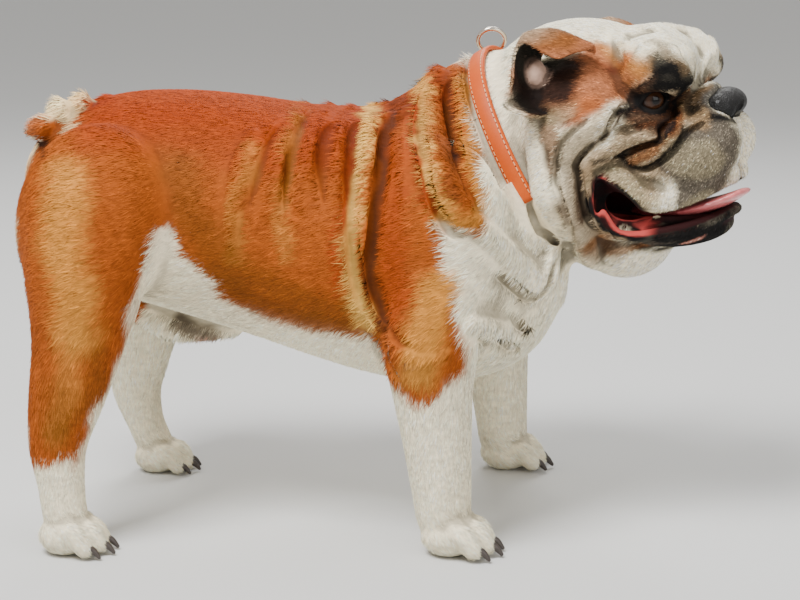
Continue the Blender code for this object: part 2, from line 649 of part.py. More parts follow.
def ear(side):
    """A folded sheet of leather, cupped towards the front and hanging at its tip."""
    roots, bends, edges = (smooth_path([Vector(row[k]) for row in EAR], 4) for k in range(3))
    mesh = bmesh.new()
    rows = []
    frame = head_frame()
    across = 10
    for root, bend, edge in zip(roots, bends, edges):
        row = []
        for j in range(across + 1):
            t = j / across
            point = root * (1 - t) ** 2 + bend * (2 * t * (1 - t)) + edge * t * t
            row.append(mesh.verts.new(frame @ Vector((point.x, point.y * side, point.z))))
        rows.append(row)
    for one, two in zip(rows, rows[1:]):
        for j in range(across):
            mesh.faces.new((one[j], one[j + 1], two[j + 1], two[j]))
    sheet = bpy.data.meshes.new("ear")
    mesh.to_mesh(sheet)
    mesh.free()
    obj = bpy.data.objects.new("ear", sheet)
    bpy.context.scene.collection.objects.link(obj)
    thick = obj.modifiers.new("thick", "SOLIDIFY")
    thick.thickness = EAR_THICKNESS
    thick.offset = 0
    return fuse(plain(obj), 0.0012, 4)


def nose_leather():
    clay = Clay(head_frame())
    clay.ball((0.1650, 0, 0.0165), (0.0160, 0.0205, 0.0125))
    clay.pair((0.1615, 0.0140, 0.0115), (0.0145, 0.0122, 0.0128))
    nose = clay.fused("nose", 0.001, 4)
    cutter = Clay(head_frame())
    cutter.ropes([(0.1815, 0.0075, 0.0200, 0.0018), (0.1790, 0.0100, 0.0135, 0.0034), (0.1740, 0.0145, 0.0065, 0.0036),
                  (0.1680, 0.0205, 0.0035, 0.0026), (0.1610, 0.0255, 0.0045, 0.0014)], facing=(0, 1, 1), sides=10)
    nostrils = cutter.object("nostrils")
    nose = joined(nose, nostrils, "DIFFERENCE")
    bpy.data.objects.remove(nostrils)
    return nose


def tongue():
    clay = Clay(head_frame())
    clay.rope([(0.098, -0.002, -0.0775, 0.0050), (0.118, -0.008, -0.0775, 0.0062), (0.142, -0.014, -0.0740, 0.0064),
               (0.160, -0.018, -0.0685, 0.0058), (0.175, -0.021, -0.0620, 0.0044), (0.186, -0.023, -0.0560, 0.0030)],
              wide=5.2)
    return clay.fused("tongue", 0.0014, 3)


def eyeball(side):
    bpy.ops.mesh.primitive_uv_sphere_add(segments=20, ring_count=10, radius=EYE_RADIUS,
                                         location=head_frame() @ Vector((EYE_AT.x, EYE_AT.y * side, EYE_AT.z)))
    return bpy.context.object


def collar(tree):
    half = COLLAR_WIDTH / 2
    return collar_strip(tree, COLLAR_REACH + 8, -0.0006, COLLAR_THICKNESS - 0.0006, half, half - 0.0006).object("collar")


def steel_ring(tree):
    """A ring lying over the collar at the nape, on a low keeper."""
    out = collar_ring(tree, -2 * COLLAR_STEP)[1]
    across = COLLAR_AXIS.cross(out)
    middle = COLLAR_CORE + out * (collar_radii(tree)[-2] + RING_LIFT) + COLLAR_AXIS * 0.002
    tilted = (out * 0.75 - across * 0.66).normalized()
    side = COLLAR_AXIS
    other = tilted.cross(side)
    clay = Clay()
    count = 28
    rings = []
    for k in range(count):
        a = math.tau * k / count
        way = side * math.cos(a) + other * math.sin(a)
        rings.append([middle + way * (RING_RADIUS + RING_WIRE * math.cos(b)) + tilted * (RING_WIRE * math.sin(b))
                      for b in (math.tau * j / 8 for j in range(8))])
    made = [[clay.mesh.verts.new(p) for p in ring] for ring in rings]
    for k in range(count):
        one, two = made[k], made[(k + 1) % count]
        for j in range(8):
            i = (j + 1) % 8
            clay.mesh.faces.new((one[j], one[i], two[i], two[j]))
    return clay.object("ring")


def box(low, high):
    mesh = bmesh.new()
    size = Vector(high) - Vector(low)
    where = Matrix.Translation((Vector(low) + Vector(high)) / 2) @ Matrix.Diagonal((*size, 1.0))
    bmesh.ops.create_cube(mesh, size=1.0, matrix=where)
    data = bpy.data.meshes.new("box")
    mesh.to_mesh(data)
    mesh.free()
    obj = bpy.data.objects.new("box", data)
    bpy.context.scene.collection.objects.link(obj)
    return obj


def half_space(point, normal, extent=1.2):
    """A block filling the side of a plane that its normal points to."""
    block = box((-extent, -extent, 0), (extent, extent, 2 * extent))
    turn = Vector(normal).to_track_quat("Z", "Y").to_matrix().to_4x4()
    block.data.transform(Matrix.Translation(point) @ turn)
    return block


def parted(rest, region, shrink):
    """The piece of rest inside a region, and what is left outside it, with a thin gap between."""
    inner = joined(copied(rest, "piece"), region(shrink), "INTERSECT")
    outer = joined(rest, region(-shrink), "DIFFERENCE")
    return inner, outer


def plane_region(point, normal):
    along = Vector(normal).normalized()
    return lambda shrink: half_space(Vector(point) + along * shrink, along)


def box_region(low, high):
    return lambda s: box([v + s for v in low], [v - s for v in high])


HEAD_PLANE = ((0, 0, 0.06), (0.988, 0, 0.156))        # in the head's frame
NECK_PLANE = ((0.060, 0, 0.30), (0.91, -0.35, 0.415))
TAIL_BOX = ((-0.345, -0.066, 0.3450), (-0.268, 0.014, 0.410))
LEGS = {
    "front_leg_right": ((-0.060, -0.200, -0.05), (0.125, -0.078, 0.188)),
    "front_leg_left": ((0.010, 0.078, -0.05), (0.190, 0.200, 0.188)),
    "hind_leg_right": ((-0.400, -0.200, -0.05), (-0.190, -0.052, 0.225)),
    "hind_leg_left": ((-0.400, 0.052, -0.05), (-0.170, 0.200, 0.225)),
}


def material(name, colour, roughness):
    out = bpy.data.materials.new(name)
    out.use_nodes = True
    shader = out.node_tree.nodes["Principled BSDF"]
    shader.inputs["Base Color"].default_value = (*colour, 1)
    shader.inputs["Roughness"].default_value = roughness
    return out


def finish(obj, name, stuff, smooth=True):
    obj.name = name
    obj.data.name = name
    obj.data.materials.clear()
    obj.data.materials.append(stuff)
    if smooth:
        obj.data.shade_smooth()
    return obj


def build():
    for obj in list(bpy.data.objects):
        bpy.data.objects.remove(obj)
    skin, tree = whole()

    # the head is kept finer than the body
    frame = head_frame()
    point, normal = frame @ Vector(HEAD_PLANE[0]), frame.to_3x3() @ Vector(HEAD_PLANE[1])
    normal.normalize()
    half = GAP / 2
    head = joined(reduced(copied(skin, "head"), FINE_FACES), half_space(point + normal * half, normal), "INTERSECT")
    rest = joined(reduced(skin, COARSE_FACES), half_space(point - normal * half, normal), "DIFFERENCE")
    rest = joined(rest, half_space((0, 0, 0), (0, 0, 1)), "INTERSECT")
    sockets = Clay(frame)
    sockets.pair(EYE_AT, (EYE_RADIUS + GAP,) * 3, rounds=3)
    head = largest(joined(head, sockets.object("sockets"), "DIFFERENCE"))

    pieces = {"head": head}
    for name, (low, high) in LEGS.items():
        pieces[name], rest = parted(rest, box_region(low, high), half)
    pieces["neck"], rest = parted(rest, plane_region(*NECK_PLANE), half)
    pieces["tail"], rest = parted(rest, box_region(*TAIL_BOX), half)
    pieces["torso"] = rest
    for name in list(pieces):
        pieces[name] = largest(pieces[name])

    coat = material("coat", (0.62, 0.36, 0.18), 0.8)
    leather = material("nose_leather", (0.03, 0.03, 0.03), 0.35)
    flesh = material("tongue", (0.62, 0.16, 0.17), 0.35)
    iris = material("eye", (0.05, 0.025, 0.012), 0.08)
    strap = material("collar_leather", (0.45, 0.13, 0.04), 0.5)
    steel = material("steel", (0.6, 0.6, 0.6), 0.25)
    for name, obj in pieces.items():
        finish(obj, name, coat)
    by_head = keep_clear(head, 24000)
    by_neck = keep_clear(pieces["neck"], 8000)
    by_torso = keep_clear(pieces["torso"], 14000)
    for side, word in ((1, "left"), (-1, "right")):
        finish(trimmed(reduced(ear(side), EAR_FACES), [by_head]), "ear_" + word, coat)
        finish(eyeball(side), "eye_" + word, iris)
    finish(trimmed(reduced(nose_leather(), NOSE_FACES), [by_head]), "nose", leather)
    finish(trimmed(reduced(tongue(), TONGUE_FACES), [by_head]), "tongue", flesh)
    band = trimmed(collar(tree), [by_head, by_neck, by_torso])
    finish(band, "collar", strap, False)
    by_band = keep_clear(band, 3000)
    finish(trimmed(steel_ring(tree), [by_neck, by_head, by_band]), "collar_ring", steel)

    keep = set(pieces.values())
    named = {"ear_left", "ear_right", "eye_left", "eye_right", "nose", "tongue", "collar", "collar_ring"}
    for obj in list(bpy.data.objects):
        if obj not in keep and obj.name not in named:
            bpy.data.objects.remove(obj)
    centre_on_floor()


def centre_on_floor():
    """Moves every piece so that the origin is under the middle of their bounds."""
    objects = list(bpy.data.objects)
    bpy.context.view_layer.update()
    points = [obj.matrix_world @ Vector(corner) for obj in objects for corner in obj.bound_box]
    middle = [(min(p[k] for p in points) + max(p[k] for p in points)) / 2 for k in range(2)]
    print("middle", [round(v, 5) for v in middle])
    for obj in objects:
        obj.data.transform(Matrix.Translation((-middle[0], -middle[1], 0)) @ obj.matrix_world)
        obj.matrix_world = Matrix.Identity(4)


build()
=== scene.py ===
"""Looks for the standing English bulldog: skin, short coat, eyes, nose, mouth, claws and collar."""
import json
import math

import bmesh
import bpy
import numpy as np
from mathutils import Euler, Matrix, Vector
from mathutils.bvhtree import BVHTree

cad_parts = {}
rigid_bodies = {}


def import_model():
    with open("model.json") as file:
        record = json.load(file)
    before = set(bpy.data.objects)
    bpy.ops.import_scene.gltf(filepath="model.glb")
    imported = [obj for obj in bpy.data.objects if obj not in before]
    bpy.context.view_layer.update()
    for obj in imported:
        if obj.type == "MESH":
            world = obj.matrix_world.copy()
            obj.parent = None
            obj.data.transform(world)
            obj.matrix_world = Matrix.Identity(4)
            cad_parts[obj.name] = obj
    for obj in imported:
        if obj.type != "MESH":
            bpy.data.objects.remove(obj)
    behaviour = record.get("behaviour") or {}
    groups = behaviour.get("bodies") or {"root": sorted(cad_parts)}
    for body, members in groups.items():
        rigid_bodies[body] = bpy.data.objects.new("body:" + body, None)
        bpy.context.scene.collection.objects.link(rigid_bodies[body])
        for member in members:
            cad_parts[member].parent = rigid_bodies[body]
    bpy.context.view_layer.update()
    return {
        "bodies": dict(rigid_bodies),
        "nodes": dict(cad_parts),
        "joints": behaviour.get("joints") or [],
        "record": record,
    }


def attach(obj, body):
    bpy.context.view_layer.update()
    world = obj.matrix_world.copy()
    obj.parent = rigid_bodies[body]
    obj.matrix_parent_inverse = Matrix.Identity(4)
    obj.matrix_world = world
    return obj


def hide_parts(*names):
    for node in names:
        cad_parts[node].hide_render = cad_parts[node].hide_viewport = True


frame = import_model()

MM = 0.001
GAP = 0.0003
SHIFT = Vector((0.01186, -0.00262, 0))     # from the frame the dog is shaped in to the model's own

# The head's own frame: its origin low in the back of the skull, +X out through the nose
HEAD_AT = Vector((0.125, -0.012, 0.365))
HEAD_TURN = -23
FACE_CORE = Vector((0.062, 0, -0.012))
BARREL_HEIGHT = 0.27
MM_PER_DEGREE = 1.75                       # on the face, seen from its core

EYE_AT = Vector((0.1105, 0.0475, 0.0200))
EYE_RADIUS = 0.0122
EYE_GAZE = Vector((0.643, 0.766, 0.020)).normalized()
EYE_TILT = 16
LID_OPENING = (0.0146, 0.0100)

FRONT_FEET = ((-1, 0.036), (1, 0.100))     # side, and how far forward
PAWS = ((0.040, -0.130, -6, 1.0), (0.102, 0.130, 8, 1.0), (-0.288, -0.126, -4, 0.94),
        (-0.240, 0.120, 4, 0.90))          # forward, left, turn, size
PAW_SINK = 0.0025
TOES = ((0.022, -0.0225), (0.032, -0.0080), (0.032, 0.0080), (0.022, 0.0225))

COLLAR_CORE = Vector((0.1240, -0.004, 0.330))
COLLAR_AXIS = Vector((1, -0.335, 0.600)).normalized()
COLLAR_WIDTH = 0.0165
COLLAR_STEP = 6
COLLAR_REACH = 100
RING_RADIUS = 0.0120
RING_WIRE = 0.0021
RING_LIFT = 0.0136
COLLAR_OVER = 8                            # degrees that the strap goes past its channel in the coat
COLLAR_SWEEPS = 14                         # how often the neck's outline under the collar is evened
STITCH = 0.0050                            # from one hole of the collar's seam to the next
STITCH_INSET = 2.3                         # from the collar's edge to its seam, in millimetres

CAMERA_AT = Vector((0, -1.7, 0.5376))
CAMERA_DIP = 11.4
CAMERA_LENS = 86.445
SKY = ((1.0, 0.985, 0.96, 1), 0.68)
# name, place, what it points at, size and watts
LAMPS = (("key", (-0.9, -1.3, 2.6), (0, 0, 0.2), 1.1, 140), ("fill", (1.6, -1.8, 1.2),
                                                             (0.1, 0, 0.25), 1.6, 20),
         ("back", (0.2, 1.8, 2.0), (0, 0, 0.2), 1.2, 34))

SKIN_TRIANGLES = 195000
HOLLOW_SWEEPS = 22
HOLLOW_DEPTH = 0.0013                      # a hollow this deep counts as the bottom of a fold, where the painted shade is at its darkest
TUFTS = 290000
TUFT_DENSITY = 34e4                        # tufts to a square metre where the hair is 10 mm long
TUFT_TURN = 0.20                           # spread of the tufts' direction, in radians
REGIONS = ("head_right", "head_left", "head_top", "neck", "back", "flank_right", "flank_left", "belly",
           "front_legs", "hind_legs")

# Each fold: tube radius and how far it stands out or goes in, in millimetres, then its path.
# On the face a path is the azimuth and height, in degrees, seen from FACE_CORE.
FACE_ROLLS = {
    "nose rope": (6.8, 5.5, ((13, 27), (22, 17.5), (37.5, 9), (45, 1.5), (55.5, -8), (61.5, -11))),
    "eye pad": (6, 2.2, ((41.5, 11), (51.5, 11), (59.5, 11.5), (66.5, 10))),
    "cheek rope": (9.2, 7.2, ((50.5, 3.5), (61.5, 0.5), (72, -3), (80, -8), (84.5, -14), (82, -28),
        (78, -35.5), (71, -45), (62.5, -49.5))),
    "jowl rope": (11.2, 8.5, ((66.5, 20.5), (74, 13), (82, 7.5), (90, 2), (93.5, -5), (94.5, -14),
        (92.5, -23.5), (89, -34), (87.5, -46), (88, -63), (78.5, -67))),
    "brow arch": (6.2, 5, ((54.5, 35.5), (49.5, 39), (44, 40), (39, 37.5), (31.5, 28.5), (15, 27.5))),
    "brow outer": (7, 4.5, ((62.5, 34.5), (58.5, 39.5), (53, 44), (46, 46))),
    "flew rim": (6, 3, ((77.5, -17), (71, -21.5), (65, -28), (52.5, -38.5), (36.5, -34.5), (28.5, -31),
        (4.5, -32))),
    "nose roll": (5.6, 5, ((21, 12), (11.5, 18), (4, 22.5), (1.5, 18.5))),
    "temple fold": (7, 4.5, ((64.5, 68), (62.5, 49), (61.5, 40.5), (61.5, 34.5))),
    "brow middle": (6, 4, ((29, 42), (25.5, 37), (9.5, 34.5), (10.5, 29.5))),
    "forehead roll": (7, 4, ((27, 70), (20.5, 63), (38.5, 46))),
    "chin fold": (4.5, 2.2, ((42.5, -13), (44, -17.5), (39.5, -21.5), (34, -22), (29.5, -20))),
}
FACE_CREASES = {
    "lid crease": (2.2, 3, ((47.5, 32), (52, 31), (55, 29.5), (58.5, 26.5))),
    "cheek crease": (3.2, 7.4, ((58.5, 26.5), (66.5, 18), (72, 9.5), (75.5, 3.5), (82.5, -2.5))),
    "cheek crease low": (3.6, 8, ((75.5, 4), (87, -7.5), (87.5, -13.5), (84, -29), (81, -37),
        (74.5, -43.5))),
    "tear crease": (3, 7.4, ((30, 26), (24.5, 20.5), (37.5, 13), (45, 6.5), (48.5, 1.5), (59, -5.5),
        (68, -8), (77, -8.5))),
    "pad crease": (2, 3.6, ((74.5, 3.5), (65, 5.5), (55, 7), (48.5, 7.5))),
    "flew crease": (3.2, 7.4, ((21, 11), (27.5, 7.5), (34.5, 5), (41.5, -2), (46.5, -8), (55, -15.5),
        (71, -10.5))),
    "jowl back crease": (4, 8, ((79.5, 13.5), (87.5, 8), (95, -0.5), (98, -15), (96, -22), (93.5, -30),
        (93, -40.5), (110.5, -65.5))),
    "nose roll crease": (1.8, 3.8, ((18.5, 11.5), (10.5, 16), (5.5, 19), (1.5, 21))),
    "brow crease": (2.2, 4.2, ((57, 36.5), (51.5, 40), (45, 42.5), (38, 40.5), (35, 34.5), (27, 30.5),
        (15, 26.5))),
    "brow crease 2": (2.2, 3.6, ((68, 36), (63, 40), (57.5, 45.5), (51, 49.5))),
    "brow crease 3": (2.4, 4.2, ((5.5, 43.5), (18.5, 35.5), (11.5, 32.5), (11.5, 29))),
}
# On the body it is millimetres along the trunk and degrees down from the back.
BODY_ROLLS = {
    "ruff": (17, 14.5, ((34, 10), (25, 27), (26, 47), (30, 66), (51, 80), (62, 82))),
    "shoulder roll": (11.5, 6.5, ((17, 23), (-16, 30), (-23, 36), (-25, 58), (-29, 83), (-29, 94),
        (-21, 114), (-16, 118))),
    "shoulder roll 2": (13, 4.5, ((13, 20), (5, 42), (3, 62), (2, 74))),
    "rib roll 1": (12, 5.5, ((-41, -5), (-50, 42), (-51, 61), (-50, 74))),
    "rib roll 2": (12, 5.5, ((-62, 20), (-73, 50), (-78, 64), (-81, 77))),
    "rib roll 3": (12, 5.5, ((-89, 30), (-98, 54), (-105, 67), (-108, 79))),
    "rib roll 4": (12, 5.5, ((-123, 43), (-131, 59), (-136, 73), (-140, 92))),
    "breast roll 1": (20, 12, ((70, 85), (103, 103), (112, 110), (124, 107), (130, 100))),
    "breast roll 2": (15, 9, ((60, 112), (91, 127), (99, 130), (111, 124))),
    "neck roll": (16, 10, ((110, 42), (116, 62), (122, 76), (141, 97))),
    "elbow roll": (10, 4, ((-9, 116), (0, 119), (18, 118), (39, 117))),
}
BODY_CREASES = {
    "ruff crease": (6, 7.5, ((26, 16), (17, 30), (15, 45), (18, 63), (21, 72), (42, 85), (57, 86))),
    "ruff front": (6, 7.5, ((49, 13), (42, 23), (46, 47), (49, 62), (58, 76))),
    "shoulder crease": (6, 5, ((8, 3), (-6, 29), (-11, 46), (-14, 63), (-17, 75), (-23, 96), (-19, 105),
        (-12, 112), (0, 115), (14, 115))),
    "shoulder back": (6, 4, ((-23, 30), (-35, 32), (-39, 54), (-40, 71), (-40, 83), (-34, 104),
        (-27, 113), (-17, 118))),
    "rib crease 1": (7, 5, ((-47, 31), (-57, 35), (-61, 52), (-63, 66), (-61, 77))),
    "rib crease 2": (7, 5, ((-74, 13), (-83, 41), (-89, 55), (-95, 79))),
    "rib crease 3": (7, 4, ((-100, 35), (-112, 54), (-119, 67), (-125, 77))),
    "breast crease 1": (5.5, 8, ((78, 99), (92, 106), (115, 114), (131, 106), (134, 99))),
    "breast crease 2": (5, 7, ((60, 115), (77, 125), (88, 129), (100, 138), (111, 133))),
    "breast crease 3": (5, 5, ((91, 117), (102, 124), (114, 134))),
    "neck crease": (5, 7, ((101, 68), (116, 85), (129, 92), (146, 108))),
    "neck front crease": (5, 7, ((129, 71), (137, 83), (143, 91), (147, 105))),
    "elbow back": (5, 5, ((-13, 113), (-14, 119), (-11, 124), (0, 126))),
}

# Markings: colour, strength, radius and softness in millimetres, and a path. With no radius it is the
# area that the path bounds. A face path is azimuth and height as above, a body path is forward and up
# in millimetres.
FACE_MARKS = {
    "temple": ("orange", 0.92, 0, 11, ((92, 57), (85, 60), (75, 59.5), (71.5, 52), (65.5, 46), (61, 41.5),
        (59.5, 37.5), (52.5, 36.5), (51, 34), (55, 30.5), (58, 27), (68, 20.5), (75, 16), (81, 12.5),
        (87, 8.5), (92, 7.5), (97.5, 6.5), (104, 8.5), (110, 12.5), (117, 23), (109, 30.5), (103.5, 38.5),
        (102.5, 46.5), (97.5, 51))),
    "temple top": ("tan", 0.55, 7, 14, ((74, 55), (66, 44), (59, 36))),
    "temple low": ("orange", 0.6, 8, 18, ((92.5, 19.5), (85, 17.5), (81, 18.5))),
    "temple spot": ("rust", 0.5, 4, 7, ((65.5, 44.5), (64, 40), (75, 41))),
    "neck side": ("brown", 0.8, 0, 6, ((109, 14), (98.5, 12.5), (97.5, 5.5), (97, -1.5), (98, -9.5),
        (99, -16.5), (101, -14.5), (103.5, -4.5), (106.5, 6.5))),
    "face veil": ("greytan", 0.85, 0, 10, ((50, 24), (62, 16.5), (69.5, 5), (81, -4), (87, -14), (86, -22),
        (81, -47.5), (44, -19), (38.5, -0.5), (26, 8.5), (14, 17), (13.5, 26), (24, 25))),
    "jowl veil": ("greytan", 0.6, 0, 14, ((72, 18), (86, 8), (97, 2), (99, -30), (95, -50), (85, -62),
        (70, -60),
        (60, -45), (80, -35), (82, -5))),
    "upper pad": ("umber", 0.75, 6, 5, ((58, 22.5), (53, 26.5), (50, 27.5))),
    "lower pad": ("umber", 0.7, 6, 5, ((64.5, 12.5), (55, 11), (47.5, 10.5))),
    "pad edge": ("orange", 0.5, 2.5, 3, ((58.5, 7.5), (49.5, 9), (44, 8))),
    "brow black": ("black", 0.96, 7.5, 5, ((48, 33), (43.5, 32.5), (38.5, 30), (34, 26.5), (30.5, 25))),
    "brow grey": ("umber", 0.5, 4, 6, ((48.5, 44), (43, 43), (42.5, 37), (38, 34.5))),
    "lid black": ("black", 0.96, 3.4, 3, ((54, 21.5), (50, 24), (44, 25.5), (33.5, 23.5))),
    "under lid": ("black", 0.95, 3.2, 4, ((62, 17.5), (54, 17.5), (48.5, 15.5), (39, 15.5), (24.5, 21.5),
        (22, 25.5))),
    # Painted shade along the tear crease.
    "inner corner": ("black", 0.95, 3.5, 5, ((30.5, 24.5), (24.5, 20.5), (37, 13), (44.5, 7), (45, 3))),
    # Painted shade along the lid and cheek creases.
    "outer line": ("black", 0.9, 1.8, 3, ((71, 10.5), (66.5, 17.5), (60, 25), (55.5, 29.5), (51, 31.5),
        (46.5, 32.5))),
    "nose rope": ("ropebrown", 0.9, 6.5, 6, ((20, 26), (22.5, 19.5), (38, 9.5), (45, 2.5), (50.5, -4),
        (58, -10))),
    # Painted highlight along the nose rope.
    "rope glow": ("orange", 0.45, 2.5, 5, ((24, 20), (34.5, 13), (42.5, 7))),
    "muzzle": ("pepper", 0.95, 0, 7, ((13.5, 26), (19, 28), (3.5, 26), (16.5, 17), (15.5, 11), (14, -4),
        (17.5, -19.5), (18.5, -28), (39.5, -39), (39.5, -23.5), (44.5, -16), (47, -13), (42, -5.5),
        (35.5, 2.5), (30, 7.5), (22.5, 13.5), (19.5, 19.5))),
    "muzzle dark": ("black", 0.85, 0, 10, ((24, 10), (15, 12), (16, 11.5), (15.5, 7), (14, -4),
        (18, -17.5), (18, -25), (18.5, -28), (13.5, -9), (13.5, -1.5), (12.5, 6), (19, 7))),
    "lower flew": ("palegrey", 0.6, 8, 9, ((78, -16), (68, -19), (60, -25), (50, -31), (38, -33),
        (27, -27))),
    "flew middle": ("palegrey", 0.45, 12, 9, ((40, -3.5), (36.5, -8.5), (28, -6))),
    "nose roll": ("slate", 0.9, 6, 4, ((15, 17.5), (10.5, 23), (3.5, 24), (10.5, 19.5))),
    "nose bed": ("black", 0.95, 4, 4, ((21, 11), (14, 8.5), (9, 9.5))),
    # Painted shade along the flew crease.
    "flew crease": ("black", 0.92, 3.2, 5, ((33.5, 6.5), (39.5, -1.5), (45.5, -9.5), (51, -15.5),
        (57.5, -14.5), (67.5, -8.5))),
    # Painted shade along the tear crease.
    "tear crease": ("black", 0.85, 2.0, 4, ((45.5, 5.5), (51, 0.5), (56.5, -5), (65, -7.5), (74.5, -7),
        (79.5, -9))),
    # Painted shade along the cheek creases.
    "cheek line": ("umber", 0.85, 1.6, 3, ((68, 16.5), (70.5, 10.5), (76, 3.5), (81.5, -2), (87, -7),
        (88, -13), (87.5, -18.5), (86.5, -24), (84, -31.5))),
    # Painted shade along the crease behind the jowl.
    "jowl line": ("umber", 0.7, 2, 4, ((97.5, 1.5), (97.5, -7), (97.5, -16), (95.5, -25), (93, -35.5))),
    "jowl shade": ("umber", 0.3, 4, 6, ((93, -8.5), (90.5, -13.5), (90, -19.5), (88, -27), (83, -36.5),
        (76, -58.5), (70, -64))),
    "corner lip": ("black", 0.97, 2.6, 3, ((79, -22.5), (78.5, -31), (74.5, -30), (71.5, -33.5),
        (68, -37))),
    "lower jaw": ("black", 0.96, 0, 4, ((50, -39), (43, -37.5), (33, -34.5), (17.5, -32), (11, -27.5),
        (11, -27.5), (3.5, -35.5), (7, -43.5), (14.5, -52.5), (34.5, -52), (52.5, -40.5))),
    "jaw grizzle": ("pepper", 0.6, 2.5, 3, ((47, -47), (37.5, -45.5), (35, -43))),
    "chin spot": ("dullpink", 0.9, 2.8, 2, ((24, -42.5), (23, -39.5))),
    "jaw front grey": ("pepper", 0.5, 3, 4, ((6, -33), (4.5, -29))),
    "throat": ("brown", 0.8, 7, 8, ((79, -45.5), (69.5, -57.5), (55.5, -57.5), (49.5, -54.5))),
    "skull speck": ("umber", 0.6, 1.2, 2, ((55, 53.5), (55, 52))),
    "jowl mole": ("umber", 0.7, 1.3, 2, ((88.5, 3.5), (87.5, 4))),
    "lid fold": ("umber", 0.85, 0, 4, ((60.5, 26), (57.5, 29.5), (53.5, 31.5), (49.5, 31.5), (48, 27),
        (52, 25.5), (55, 23.5), (62.5, 21))),
    "brow fill": ("black", 0.95, 0, 4, ((48.5, 33.5), (43, 34.5), (38.5, 32), (34.5, 27.5),
        (19.5, 25.5), (23.5, 21), (36.5, 22.5), (46, 24.5), (52, 26), (50.5, 29.5))),
    "under eye": ("umber", 0.8, 0, 5, ((59.5, 20), (54.5, 16), (47, 13.5), (35, 17), (23.5, 20.5),
        (39, 11.5), (45, 5.5), (49, 3.5), (56, 6.5), (63, 11), (68, 14.5))),
    # Painted shade along the tear crease.
    "inner black": ("black", 0.93, 3.0, 4, ((32, 24), (22.5, 20.5), (37, 12.5), (44, 6.5), (47.5, 2))),
    "outer black": ("black", 0.92, 2.6, 4, ((69.5, 15), (64, 16.5), (58.5, 19.5), (54, 21.5))),
    # Painted shade along the lid crease.
    "fold edge": ("black", 0.85, 1.2, 2.5, ((67, 19.5), (60.5, 26), (56.5, 29.5), (52.5, 31), (49, 32))),
    "nose side": ("greytan", 0.75, 0, 5, ((15.5, 25), (3.5, 28), (2.5, 27), (14, 20.5), (22, 12.5),
        (23.5, 6), (29.5, 5), (27, 12), (21, 20))),
    "brow grey edge": ("greytan", 0.5, 2.2, 5, ((54, 34.5), (50.5, 38.5), (44.5, 38), (39, 35),
        (35.5, 30.5))),
}
